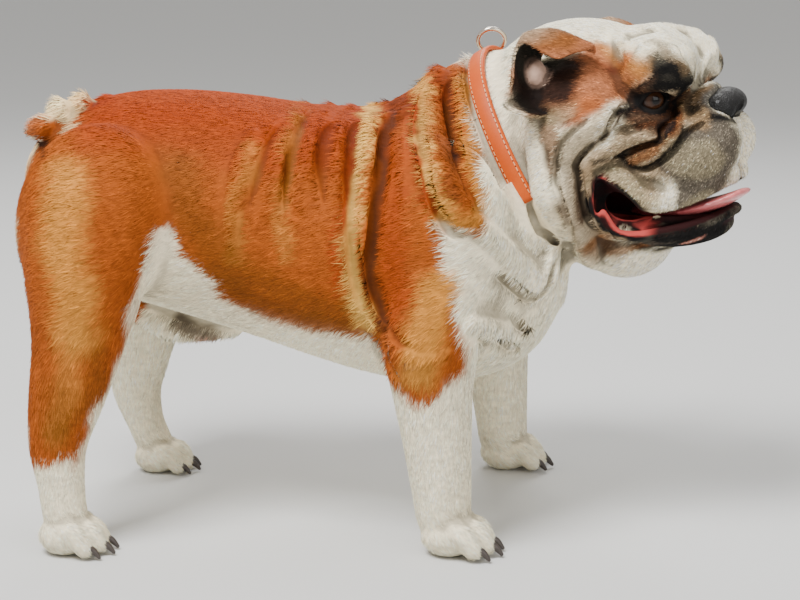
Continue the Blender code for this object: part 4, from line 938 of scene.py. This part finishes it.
def marked(chart, radius, soft, path):
    """How much of a mark each point of a chart in millimetres shows."""
    path = [tuple(p) for p in path]
    if radius:
        return 1 - ramp(path_gap(chart, path) - radius, -soft / 2, soft / 2)
    reach = path_gap(chart, path + path[:1])
    return 1 - ramp(np.where(inside(chart, path), -reach, reach), -soft / 2, soft / 2)


def linear(colour):
    return np.array([c / 12.92 if c <= 0.04045 else ((c + 0.055) / 1.055) ** 2.4 for c in colour])


def blend(colours, name, share):
    return colours + (linear(PALETTE[name]) - colours) * share[:, None]


def headness(points):
    """1 on the head and 0 behind it."""
    q = in_head(points)
    return ramp(0.988 * q[:, 0] + 0.156 * (q[:, 2] - 0.06), -0.012, 0.012)


def markings(points, normals, hollow):
    """The coat's colour at each point of the skin, with painted shade in the folds and painted light on the
    ridges; hollow is how deep in a fold it lies.
    """
    wobble = np.stack([ripple(points, 0.020, seed) for seed in (1, 2, 3)], axis=1) * 0.0025
    p = points + wobble
    colours = np.tile(linear(PALETTE["white"]), (len(p), 1))

    # body, in side view; the inner sides of the legs and the belly stay white
    side_view = np.stack((p[:, 0], p[:, 2]), axis=1) * 1000
    outer = np.sign(p[:, 1]) * normals[:, 1]
    high = ramp(p[:, 2], 0.19, 0.25)
    shown = 1 - (1 - np.maximum(high, ramp(outer, -0.15, 0.25))) * ramp(p[:, 2], 0.30, 0.20)
    shown *= ramp(normals[:, 2], -0.80, -0.45)
    for name, (colour, strength, radius, soft, path) in BODY_MARKS.items():
        there = 1 if name.startswith("sheath") else shown
        colours = blend(colours, colour, marked(side_view, radius, soft, path) * strength * there)

    # face, by azimuth and height
    q = in_head(p)
    d = q - np.array(FACE_CORE)
    azimuth = np.degrees(np.arctan2(np.abs(d[:, 1]), d[:, 0]))
    height = np.degrees(np.arctan2(d[:, 2], np.hypot(d[:, 0], d[:, 1])))
    chart = np.stack((azimuth * np.cos(np.radians(np.clip(height, -70, 70))), height),
                     axis=1) * MM_PER_DEGREE
    face = headness(points)
    on_head = np.tile(linear(PALETTE["white"]), (len(p), 1))
    side = one_side(q)
    lip_height = np.interp(side[:, 0], [m[0] for m in MOUTH], [m[2] for m in MOUTH])
    jaw = (ramp(lip_height - side[:, 2], 0, 0.003) * ramp(side[:, 0], 0.094, 0.106)
           * ramp(side[:, 2], -0.112, -0.104))
    on_head = blend(on_head, "black", jaw * 0.96)
    for name, (colour, strength, radius, soft, path) in FACE_MARKS.items():
        path = [(a * math.cos(math.radians(max(-70, min(70, h)))) * MM_PER_DEGREE, h * MM_PER_DEGREE)
                for a, h in path]
        on_head = blend(on_head, colour, marked(chart, radius, soft, path) * strength)
    on_head = bare_colours(on_head, points, normals)
    colours = colours + (on_head - colours) * face[:, None]
    # Painted shade: the colour is darkened at the bottom of folds, more on the face; on ridges it is
    # lightened, a painted light.
    shade = 1 - ramp(hollow, 0.10, 0.85) * (0.68 * face + 0.42 * (1 - face))
    shade *= 1 + 0.10 * ramp(-hollow, 0.1, 0.8)
    return colours * shade[:, None]


def bare_colours(colours, points, normals):
    """Lids, lips, the inside of the mouth and the cups of the ears, with painted shade in the mouth's hollow
    and in the ears' inner cups.
    """
    q = in_head(points)
    facing = turned(normals, -HEAD_TURN)
    facing[:, 1] *= np.sign(q[:, 1])
    side = one_side(q)
    ball = np.linalg.norm(side - np.array(EYE_AT), axis=1) - EYE_RADIUS
    colours = blend(colours, "umber", ramp(ball, 0.0125, 0.0070) * 0.7)
    colours = blend(colours, "black", ramp(ball, 0.0070, 0.0045) * 0.97)
    into = EAR_HEART - side
    reach = np.linalg.norm(into, axis=1)
    cup = ramp(reach, 0.047, 0.040) * ramp(side[:, 1], 0.066, 0.071) * ramp(side[:, 0], 0.070, 0.056)
    inner = ramp((into * facing).sum(axis=1) / reach, -0.05, 0.25)
    colours = blend(colours, "brown", cup * (1 - inner) * ramp(side[:, 2], 0.056, 0.068) * 0.8)
    colours = blend(colours, "palegrey", cup * (1 - inner) * ramp(side[:, 2], 0.050, 0.030) * 0.7)
    # Painted shade: the inner face of the ear's cup, turned towards its heart, is painted black.
    colours = blend(colours, "black", cup * inner * 0.94)
    colours = blend(colours, "earpink", ramp(np.linalg.norm(side - EAR_KNOB, axis=1), 0.0150, 0.0115))
    gap = mouth_gap(side)
    colours = blend(colours, "black", ramp(gap, 0.0048, 0.0030) * ramp(side[:, 0], 0.124, 0.112) * 0.97)
    # Painted shade: the mouth's walls and hollow are painted nearly black, and gum pink only where they face
    # up towards the back.
    wall = np.maximum(ramp(gap, 0.0016, 0.0006), in_mouth(side).astype(float))
    ledge = ramp(gap, 0.0056, 0.0036) * ramp(side[:, 0], 0.130, 0.120) * ramp(facing[:, 2], -0.1, 0.3)
    wall = np.maximum(wall, ledge)
    colours = blend(colours, "mouth_shade", wall)
    gum = wall * ramp(side[:, 0], 0.128, 0.116) * ramp(facing[:, 2], -0.20, 0.25) * 0.95
    colours = blend(colours, "gum", gum)
    rim = ramp(gap, 0.0016, 0.0028) * ramp(gap, 0.0056, 0.0040) * ramp(side[:, 0], 0.124, 0.112)
    return blend(colours, "black", rim * ramp(facing[:, 2], 0.75, 0.45) * 0.95)


def in_mouth(side):
    """The hollow of the mouth, within the lips."""
    lips = np.interp(side[:, 0], [m[0] for m in MOUTH], [m[1] for m in MOUTH])
    return ((side[:, 0] > 0.04) & (side[:, 0] < 0.172) & (side[:, 1] < lips - 0.010)
            & (np.abs(side[:, 2] + 0.068) < 0.0165))


def hollows(points, normals, triangles):
    """How deep in a fold each vertex lies, up to 1; on a ridge it is below 0."""
    one, two = np.concatenate((triangles[:, (0, 1)], triangles[:, (1, 2)], triangles[:, (2, 0)])).T
    count = np.maximum(np.bincount(one, minlength=len(points)), 1)
    soft = points
    for sweep in range(HOLLOW_SWEEPS):
        sums = [np.bincount(one, soft[two, k], len(points)) for k in range(3)]
        soft = np.stack(sums, axis=1) / count[:, None]
    return np.clip(((soft - points) * normals).sum(axis=1) / HOLLOW_DEPTH, -1, 1)


def lie(points, normals):
    """The way the hair points on each place of the skin."""
    q = in_head(points)
    low = ramp(points[:, 2], 0.25, 0.13)[:, None]
    ways = np.array((-1, 0, -0.28)) * (1 - low) + np.array((-0.15, 0, -1)) * low
    chest = (ramp(points[:, 0], 0.04, 0.12) * ramp(points[:, 2], 0.10, 0.16))[:, None]
    ways = ways * (1 - chest) + np.array((-0.45, 0, -1)) * chest
    toes = ramp(points[:, 2], 0.055, 0.035)[:, None]
    ways = ways * (1 - toes) + np.array((0.75, 0, -0.65)) * toes
    from_nose = q - np.array((0.182, 0, 0.004))
    from_nose[:, 2] -= 0.25 * np.abs(q[:, 1]) + 0.01
    from_nose /= np.linalg.norm(from_nose, axis=1)[:, None]
    face = headness(points)[:, None]
    ways = ways * (1 - face) + turned(from_nose, HEAD_TURN) * face
    ways -= normals * (ways * normals).sum(axis=1)[:, None]
    return ways / np.maximum(np.linalg.norm(ways, axis=1), 1e-6)[:, None]


def hair_length(points):
    """The coat's length and depth in metres."""
    q = in_head(points)
    face = headness(points)
    length = 0.0100 - 0.0040 * ramp(points[:, 2], 0.16, 0.04)
    muzzle = ramp(q[:, 0], 0.06, 0.13)
    return length * (1 - face) + (0.0055 - 0.0025 * muzzle) * face


def put_colours(mesh, colours):
    layer = mesh.color_attributes.new("coat", "FLOAT_COLOR", "POINT")
    solid = np.concatenate((colours, np.ones((len(colours), 1))), axis=1)
    layer.data.foreach_set("color", solid.astype(np.float32).ravel())


class Socket:
    """A shader socket that arithmetic can be written with."""

    def __init__(self, tree, socket):
        self.tree, self.socket = tree, socket

    def node(self, kind, settings=None, **sockets):
        node = self.tree.nodes.new(kind)
        for key, value in (settings or {}).items():
            setattr(node, key, value)
        for key, value in sockets.items():
            socket = node.inputs[int(key[1:]) if key[1:].isdigit() else key.replace("_", " ")]
            if isinstance(value, Socket):
                self.tree.links.new(value.socket, socket)
            else:
                socket.default_value = value
        return node

    def out(self, kind, settings=None, output=0, **sockets):
        return Socket(self.tree, self.node(kind, settings, **sockets).outputs[output])

    def math(self, operation, one, two=0.0):
        return self.out("ShaderNodeMath", {"operation": operation}, i0=one, i1=two)

    def __add__(self, other): return self.math("ADD", self, other)
    def __radd__(self, other): return self.math("ADD", other, self)
    def __sub__(self, other): return self.math("SUBTRACT", self, other)
    def __rsub__(self, other): return self.math("SUBTRACT", other, self)
    def __mul__(self, other): return self.math("MULTIPLY", self, other)
    def __rmul__(self, other): return self.math("MULTIPLY", other, self)


def shader(name):
    """A material and its root socket; its Principled node takes what the caller sets."""
    out = bpy.data.materials.new(name)
    out.use_nodes = True
    return out, Socket(out.node_tree, None), out.node_tree.nodes["Principled BSDF"]


def mixed(root, share, one, two, how="MIX"):
    node = root.tree.nodes.new("ShaderNodeMix")
    node.data_type = "RGBA"
    node.blend_type = how
    for index, value in ((0, share), (6, one), (7, two)):
        if isinstance(value, Socket):
            root.tree.links.new(value.socket, node.inputs[index])
        else:
            node.inputs[index].default_value = value if index == 0 else (*value, 1)
    return Socket(root.tree, node.outputs[2])


def plain_surface(name, colour, roughness, metallic=0.0):
    out, root, surface = shader(name)
    for key, value in (("Base Color", (*colour, 1)), ("Roughness", roughness), ("Metallic", metallic)):
        surface.inputs[key].default_value = value
    return out


def grained(root, surface, height, strength, distance):
    """The height as a bump on the surface."""
    bump = root.node("ShaderNodeBump", Height=height, Strength=strength, Distance=distance)
    root.tree.links.new(bump.outputs[0], surface.inputs["Normal"])


def noise(root, scale, detail=3.0, stretch=(1, 1, 1), **more):
    where = root.out("ShaderNodeTexCoord", output=3)
    where = root.out("ShaderNodeMapping", i0=where, i3=stretch)
    return root.out("ShaderNodeTexNoise", i0=where, Scale=scale, Detail=detail, **more)


def link(root, value, socket):
    root.tree.links.new(value.socket, socket)


def coat_material(name, bump):
    out, root, surface = shader(name)
    colour = root.out("ShaderNodeAttribute", {"attribute_name": "coat"})
    streak = noise(root, 260, 4, (0.30, 1, 1))
    strands = mixed(root, streak, (0.45, 0.42, 0.40), (1.5, 1.5, 1.5))
    tinge = mixed(root, 1.0, colour, strands, "MULTIPLY")
    link(root, mixed(root, 0.55, colour, tinge), surface.inputs["Base Color"])
    surface.inputs["Roughness"].default_value = 0.75
    surface.inputs["Specular IOR Level"].default_value = 0.12
    if bump:
        grained(root, surface, streak, bump, 0.001)
    return out


def dressed(name, mesh, material, smooth=True):
    obj = placed(name, mesh)
    mesh.name = name
    mesh.materials.clear()
    mesh.materials.append(material)
    if smooth:
        mesh.shade_smooth()
    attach(obj, "root")
    return obj


def coat_depth(points):
    face = headness(points)
    return 0.0016 * (1 - face) + 0.0007 * face


def make_skin():
    before = set(bpy.data.objects)
    raw, tree = whole()
    for obj in set(bpy.data.objects) - before - {raw}:
        bpy.data.objects.remove(obj)
    raw.modifiers.new("triangles", "TRIANGULATE")
    raw_count = sum(len(p.vertices) - 2 for p in raw.data.polygons)
    simplify = raw.modifiers.new("simplify", "DECIMATE")
    simplify.ratio = SKIN_TRIANGLES / raw_count
    raw = plain(raw)
    points, normals, triangles = arrays(raw)
    print("skin", raw_count, len(triangles))
    points -= normals * coat_depth(points)[:, None]
    points[:, 2] = np.maximum(points[:, 2], 0.0006)
    raw.data.vertices.foreach_set("co", points.astype(np.float32).ravel())
    raw.data.update()
    return raw, tree


def make_coat(points, normals, triangles, hollow, uvs, material):
    """Flat tufts over the skin, cut into pieces by region."""
    rng = np.random.default_rng(7)
    corners = points[triangles]
    cross = np.cross(corners[:, 1] - corners[:, 0], corners[:, 2] - corners[:, 0])
    area = np.linalg.norm(cross, axis=1) / 2
    middle = corners.mean(axis=1)
    length = hair_length(middle)
    density = TUFT_DENSITY * (0.010 / length) ** 1.25
    bare = bare_skin(middle)
    wanted = area * density * (1 - bare)
    total = TUFTS / wanted.sum()
    count = rng.poisson(wanted * min(1.0, total))
    pick = np.repeat(np.arange(len(triangles)), count)
    print("tufts", len(pick), "wanted", int(wanted.sum()))
    u, v = rng.random(len(pick)), rng.random(len(pick))
    flip = u + v > 1
    u[flip], v[flip] = 1 - u[flip], 1 - v[flip]
    weights = np.stack((1 - u - v, u, v), axis=1)[:, :, None]
    root = (corners[pick] * weights).sum(axis=1)
    up = (normals[triangles[pick]] * weights).sum(axis=1)
    up /= np.linalg.norm(up, axis=1)[:, None]
    place = (uvs[pick] * weights).sum(axis=1)
    way = lie(root, up)
    turn = rng.normal(0, TUFT_TURN, len(pick))
    side = np.cross(up, way)
    way = way * np.cos(turn)[:, None] + side * np.sin(turn)[:, None]
    side = np.cross(up, way)
    long = hair_length(root) * rng.uniform(0.75, 1.2, len(pick))
    wide = (0.0006 + 0.065 * long) * (1 - 0.25 * headness(root))
    lift = 0.0003 + 0.050 * long * rng.uniform(0.5, 1.5, len(pick))
    w, l, h = wide[:, None], long[:, None], lift[:, None]
    sunk = root - up * 0.0003
    verts = np.stack((sunk - side * w / 2, sunk + side * w / 2,
                      sunk + up * (w * 0.22 + 0.0003) + way * l * 0.30, root + way * l + up * h), axis=1)
    # The tufts take the same painted shade in folds and painted light on ridges through deep.
    deep = (hollow[triangles[pick]] * weights[:, :, 0]).sum(axis=1)
    colours = markings(root + rng.normal(0, 0.0011, root.shape), up, deep)
    q = in_head(root)
    face = headness(root)
    muzzle = face * ramp(q[:, 0], 0.070, 0.100) * ramp(q[:, 2], 0.045, 0.020)
    shade = np.exp(rng.normal(0, 1, len(pick)) * (0.17 + 0.18 * face + 0.42 * muzzle))[:, None]
    grey = colours.mean(axis=1)[:, None]
    colours = colours * shade
    # Each tuft is darker at its root, a painted shade where the tufts lie over each other, and a little
    # lighter at its tip.
    dark = np.clip(colours * 0.84, 0, 1)
    tip = np.clip(colours * 1.08 + grey * 0.02, 0, 1)
    tones = np.stack((dark, dark, colours, tip), axis=1)
    facing = np.stack((up - side * 0.25, up + side * 0.25, up, up + way * 0.10), axis=1)
    faces = np.array(((0, 2, 1), (0, 3, 2), (1, 2, 3), (0, 1, 3)))
    region = regions(root)
    for number, name in enumerate(REGIONS):
        mine = np.nonzero(region == number)[0]
        if not len(mine):
            continue
        mesh = bpy.data.meshes.new("coat_" + name)
        n = len(mine)
        mesh.vertices.add(n * 4)
        mesh.vertices.foreach_set("co", verts[mine].astype(np.float32).ravel())
        index = (np.arange(n) * 4)[:, None, None] + faces[None]
        mesh.loops.add(n * 12)
        mesh.loops.foreach_set("vertex_index", index.ravel().astype(np.int32))
        mesh.polygons.add(n * 4)
        mesh.polygons.foreach_set("loop_start", np.arange(0, n * 12, 3, dtype=np.int32))
        mesh.update()
        layer = mesh.uv_layers.new(name="OFBake")
        spots = place[mine][:, None, :] + np.array(((-1, -1), (1, -1), (0, 0.2), (0, 1)))[None] * 0.0015
        layer.data.foreach_set("uv", spots.reshape(-1, 2)[index.ravel()].astype(np.float32).ravel())
        put_colours(mesh, np.clip(tones[mine].reshape(-1, 3), 0, 1))
        mesh.polygons.foreach_set("use_smooth", np.ones(n * 4, bool))
        out = facing[mine].reshape(-1, 3)
        mesh.normals_split_custom_set_from_vertices((out / np.linalg.norm(out, axis=1)[:, None]).tolist())
        print(name, n * 4)
        piece = dressed("coat_" + name, mesh, material, False)
        piece.data.transform(Matrix.Translation(SHIFT))



def regions(points):
    q = in_head(points)
    head = headness(points) > 0.5
    x, y, z = points.T
    out = np.full(len(points), 3)
    out[x < 0.02] = 4
    out[(x < 0.02) & (z < 0.34) & (y < 0)] = 5
    out[(x < 0.02) & (z < 0.34) & (y >= 0)] = 6
    out[(z < 0.22) & (x > -0.17)] = 7
    out[(z < 0.20) & (x > -0.05) & (np.abs(y) > 0.06)] = 8
    out[(z < 0.24) & (x < -0.17)] = 9
    out[head & (q[:, 1] < 0)] = 0
    out[head & (q[:, 1] >= 0)] = 1
    out[head & (q[:, 2] > 0.045)] = 2
    return out


def bare_skin(points):
    """1 where no hair grows: in the mouth, over the eyes and under the collar; less in the ears."""
    q = in_head(points)
    side = one_side(q)
    eye = np.linalg.norm(side - np.array(EYE_AT), axis=1) < EYE_RADIUS + 0.0042
    lip = mouth_gap(side) < np.where(side[:, 0] < 0.125, 0.0050, 0.0012)
    knob = np.linalg.norm(side - EAR_KNOB, axis=1) < 0.0140
    across = (points - np.array(COLLAR_CORE)) @ np.array(COLLAR_AXIS)
    strap = ((np.abs(across) < COLLAR_WIDTH / 2 + 0.001) & (side[:, 1] < 0.2) & (points[:, 2] > 0.27)
             & (q[:, 0] <= 0.05))
    away = np.linalg.norm(points - np.array(COLLAR_CORE), axis=1) < 0.125
    return (eye | lip | in_mouth(side) | knob | (strap & away)).astype(float)


def settled(obj, name, material, slot, *nodes):
    """The object as a finished piece in the model's own frame, in place of the nodes."""
    mesh = obj.data
    mesh.transform(Matrix.Translation(SHIFT) @ obj.matrix_world)
    bpy.data.objects.remove(obj)
    piece = dressed(name, mesh, material)
    if nodes:
        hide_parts(*nodes)
    return piece


def tinted(name, roughness, coat=0.0, bump=0.0, grain=400, cells=False):
    """A smooth or grained surface in the mesh's own colours."""
    out, root, surface = shader(name)
    link(root, root.out("ShaderNodeAttribute", {"attribute_name": "coat"}), surface.inputs["Base Color"])
    surface.inputs["Roughness"].default_value = roughness
    surface.inputs["Coat Weight"].default_value = coat
    surface.inputs["Coat Roughness"].default_value = 0.08
    surface.inputs["Specular IOR Level"].default_value = 0.18
    if bump:
        where = root.out("ShaderNodeTexCoord", output=3)
        grains = root.out("ShaderNodeTexVoronoi", i0=where, Scale=grain) if cells else noise(root, grain, 4)
        grained(root, surface, grains, bump, 0.0008)
    return out


def vertex_places(obj):
    places = np.empty(len(obj.data.vertices) * 3, np.float32)
    obj.data.vertices.foreach_get("co", places)
    return places.reshape(-1, 3).astype(float)


def eyes():
    look = tinted("eye", 0.10, 0.15)
    for side, word in ((1, "left"), (-1, "right")):
        ball = eyeball(side)
        gaze = np.array(head_frame().to_3x3() @ eye_axes(side)[1])
        places = vertex_places(ball)
        turn = np.degrees(np.arccos(np.clip(places @ gaze / EYE_RADIUS, -1, 1)))
        colours = np.tile(np.array((0.030, 0.013, 0.007)), (len(places), 1))
        ring = ramp(turn, 18, 30)[:, None] * ramp(turn, 40, 32)[:, None]
        colours += (np.array((0.045, 0.018, 0.008)) - colours) * ring
        colours *= ramp(turn, 15, 19)[:, None] * 0.95 + 0.05
        edge = ramp(turn, 42, 47)[:, None]
        colours = colours * (1 - edge) + np.array((0.022, 0.012, 0.009)) * edge
        put_colours(ball.data, colours)
        settled(ball, "eyeball_" + word, look, "eye", "eye_" + word)


def nose_and_tongue():
    nose = nose_leather()
    places = in_head(vertex_places(nose))
    # Lighter towards the top of the nose: painted light.
    tone = 0.006 + 0.012 * ramp(places[:, 2], 0.012, 0.026)
    put_colours(nose.data, np.stack((tone, tone * 0.95, tone * 0.93), axis=1))
    settled(nose, "nose_pad", tinted("nose", 0.42, 0.10, 1.0, 750, True), "nose_leather", "nose")
    flesh = tongue()
    places = in_head(vertex_places(flesh))
    front = ramp(places[:, 0], 0.120, 0.180)[:, None]
    colours = np.array((0.36, 0.060, 0.065)) * (1 - front) + np.array((0.60, 0.150, 0.150)) * front
    colours *= 1 + 0.25 * ripple(places, 0.006, 5)[:, None] * 0.5
    put_colours(flesh.data, np.clip(colours, 0, 1))
    settled(flesh, "tongue_flesh", tinted("tongue", 0.30, 0.5, 0.5, 700), "tongue", "tongue")


def strap(tree):
    """The collar with rounded edges; its map runs along it in stitches and across it in millimetres."""
    radii = collar_radii(tree)
    half = COLLAR_WIDTH / 2
    profile = ((-0.0008, -half + 0.0004), (0.0010, -half), (0.0024, -half + 0.0006),
               (0.0031, -half + 0.0020),
               (0.0034, 0), (0.0031, half - 0.0020), (0.0024, half - 0.0006), (0.0010, half), (-0.0008,
                                                                                               half - 0.0004))
    angles = np.arange(-COLLAR_REACH - COLLAR_OVER, COLLAR_REACH + COLLAR_OVER + 0.1, 2)
    at = np.arange(-len(radii) // 2, len(radii) // 2 + 1)
    reach = np.interp(angles / COLLAR_STEP, at, [radii[k % len(radii)] for k in at])
    points, chart = [], []
    along = 0.0
    before = None
    for angle, radius in zip(angles, reach):
        out = collar_ring(tree, angle)[1]
        middle = COLLAR_CORE + out * radius
        along += (middle - before).length if before else 0
        before = middle
        for high, across in profile:
            points.append(middle + out * high + COLLAR_AXIS * across)
            chart.append((along / STITCH, across * 1000))
    n = len(profile)
    faces = [(i * n + j, i * n + (j + 1) % n, (i + 1) * n + (j + 1) % n, (i + 1) * n + j)
             for i in range(len(angles) - 1) for j in range(n)]
    faces += [tuple(range(n))[::-1], tuple(range(len(points) - n, len(points)))]
    mesh = bmesh.new()
    made = [mesh.verts.new(p) for p in points]
    layer = mesh.loops.layers.uv.new("strap")
    for face in faces:
        for loop, index in zip(mesh.faces.new([made[i] for i in face]).loops, face):
            loop[layer].uv = chart[index]
    bmesh.ops.recalc_face_normals(mesh, faces=mesh.faces)
    return from_bmesh(mesh, "strap")


def strap_material():
    """Saddle leather with a row of thread and holes along each edge."""
    out, root, surface = shader("strap")
    where = root.out("ShaderNodeTexCoord", output=2)
    split = root.node("ShaderNodeSeparateXYZ", i0=where)
    along, across = Socket(root.tree, split.outputs[0]), Socket(root.tree, split.outputs[1])
    du = (along.math("FRACT", along) - 0.5) * (STITCH * 1000)
    dv = across.math("ABSOLUTE", across) - (COLLAR_WIDTH / 2 * 1000 - STITCH_INSET)
    away = du * du + dv * dv
    hole = away.math("LESS_THAN", away, 0.30)
    thread = (du.math("GREATER_THAN", du.math("ABSOLUTE", du), 0.9)
              * dv.math("LESS_THAN", dv.math("ABSOLUTE", dv), 0.34))
    grain = noise(root, 60, 3)
    hide = mixed(root, grain, (0.46, 0.055, 0.003), (0.58, 0.100, 0.006))
    sewn = mixed(root, thread, hide, (0.62, 0.40, 0.22))
    # The holes are painted near black, a painted shade in them.
    link(root, mixed(root, hole, sewn, (0.05, 0.015, 0.008)), surface.inputs["Base Color"])
    surface.inputs["Roughness"].default_value = 0.50
    surface.inputs["Specular IOR Level"].default_value = 0.25
    grained(root, surface, hole * -1.0 + noise(root, 900, 3) * 0.25, 0.6, 0.0006)
    return out


def steel_ring(tree):
    out = collar_ring(tree, -2 * COLLAR_STEP)[1]
    across = COLLAR_AXIS.cross(out)
    middle = COLLAR_CORE + out * (collar_radii(tree)[-2] + RING_LIFT) + COLLAR_AXIS * 0.002
    tilted = (out * 0.75 - across * 0.66).normalized()
    other = tilted.cross(COLLAR_AXIS)
    clay = Clay()
    count, sides = 72, 14
    made = []
    for k in range(count):
        a = math.tau * k / count
        way = COLLAR_AXIS * math.cos(a) + other * math.sin(a)
        turns = [math.tau * j / sides for j in range(sides)]
        made.append([clay.mesh.verts.new(middle + way * (RING_RADIUS + RING_WIRE * math.cos(b))
                                         + tilted * (RING_WIRE * math.sin(b))) for b in turns])
    for k in range(count):
        one, two = made[k], made[(k + 1) % count]
        for j in range(sides):
            i = (j + 1) % sides
            clay.mesh.faces.new((one[j], one[i], two[i], two[j]))
    return clay.object("ring")


def fittings(tree):
    settled(strap(tree), "collar_strap", strap_material(), "collar_leather", "collar")
    metal = plain_surface("metal", (0.62, 0.57, 0.50), 0.22, 1)
    settled(steel_ring(tree), "steel_ring", metal, "steel", "collar_ring")
    horn = plain_surface("horn", (0.045, 0.034, 0.028), 0.35)
    clay = Clay()
    for where in PAWS:
        claws(clay, *where)
    settled(clay.object("claws"), "claw_set", horn, "coat")


def main():
    skin, tree = make_skin()
    mesh = skin.data
    points, normals, triangles = arrays(skin)
    hollow = hollows(points, normals, triangles)
    put_colours(mesh, markings(points, normals, hollow) * 0.92)
    skin_material = coat_material("skin", 0.35)
    coat = coat_material("coat", 0)

    bpy.context.view_layer.objects.active = skin
    bpy.ops.object.select_all(action="DESELECT")
    skin.select_set(True)
    bpy.ops.object.mode_set(mode="EDIT")
    bpy.ops.mesh.select_all(action="SELECT")
    bpy.ops.uv.smart_project(angle_limit=math.radians(66), island_margin=0.002)
    bpy.ops.object.mode_set(mode="OBJECT")
    mesh = skin.data
    flat = np.empty(len(mesh.loops) * 2, np.float32)
    mesh.uv_layers[0].data.foreach_get("uv", flat)
    uvs = flat.reshape(-1, 3, 2).astype(float)
    starts = np.empty(len(mesh.loops), np.int32)
    mesh.loops.foreach_get("vertex_index", starts)
    triangles = starts.reshape(-1, 3)
    make_coat(points, normals, triangles, hollow, uvs, coat)

    bpy.data.objects.remove(skin)
    mesh.transform(Matrix.Translation(SHIFT))
    piece = dressed("skin", mesh, skin_material)
    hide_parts("head", "neck", "torso", "tail", "front_leg_right", "front_leg_left",
                "hind_leg_right",
                "hind_leg_left", "ear_right", "ear_left")
    eyes()
    nose_and_tongue()
    fittings(tree)


def stage():
    floor = bpy.data.meshes.new("floor")
    floor.from_pydata([(-20, -6, 0), (20, -6, 0), (20, 40, 0), (-20, 40, 0)], [], [(0, 1, 2, 3)])
    ground = placed("floor", floor)
    floor.materials.append(plain_surface("floor", (0.62, 0.62, 0.61), 0.9))
    world = bpy.data.worlds.new("world")
    bpy.context.scene.world = world
    world.use_nodes = True
    sky = world.node_tree.nodes["Background"].inputs
    sky["Color"].default_value, sky["Strength"].default_value = SKY
    for name, place, aim, size, power in LAMPS:
        lamp = bpy.data.lights.new(name, "AREA")
        lamp.size, lamp.energy = size, power
        obj = placed(name, lamp)
        obj.location = place
        obj.rotation_euler = (Vector(aim) - Vector(place)).to_track_quat("-Z", "Y").to_euler()
    lens = bpy.data.cameras.new("camera")
    lens.lens, lens.sensor_width = CAMERA_LENS, 36
    camera = placed("camera", lens)
    camera.location = CAMERA_AT + SHIFT
    camera.rotation_euler = (math.pi / 2 - math.radians(CAMERA_DIP), 0, 0)
    bpy.context.scene.camera = camera


main()
stage()
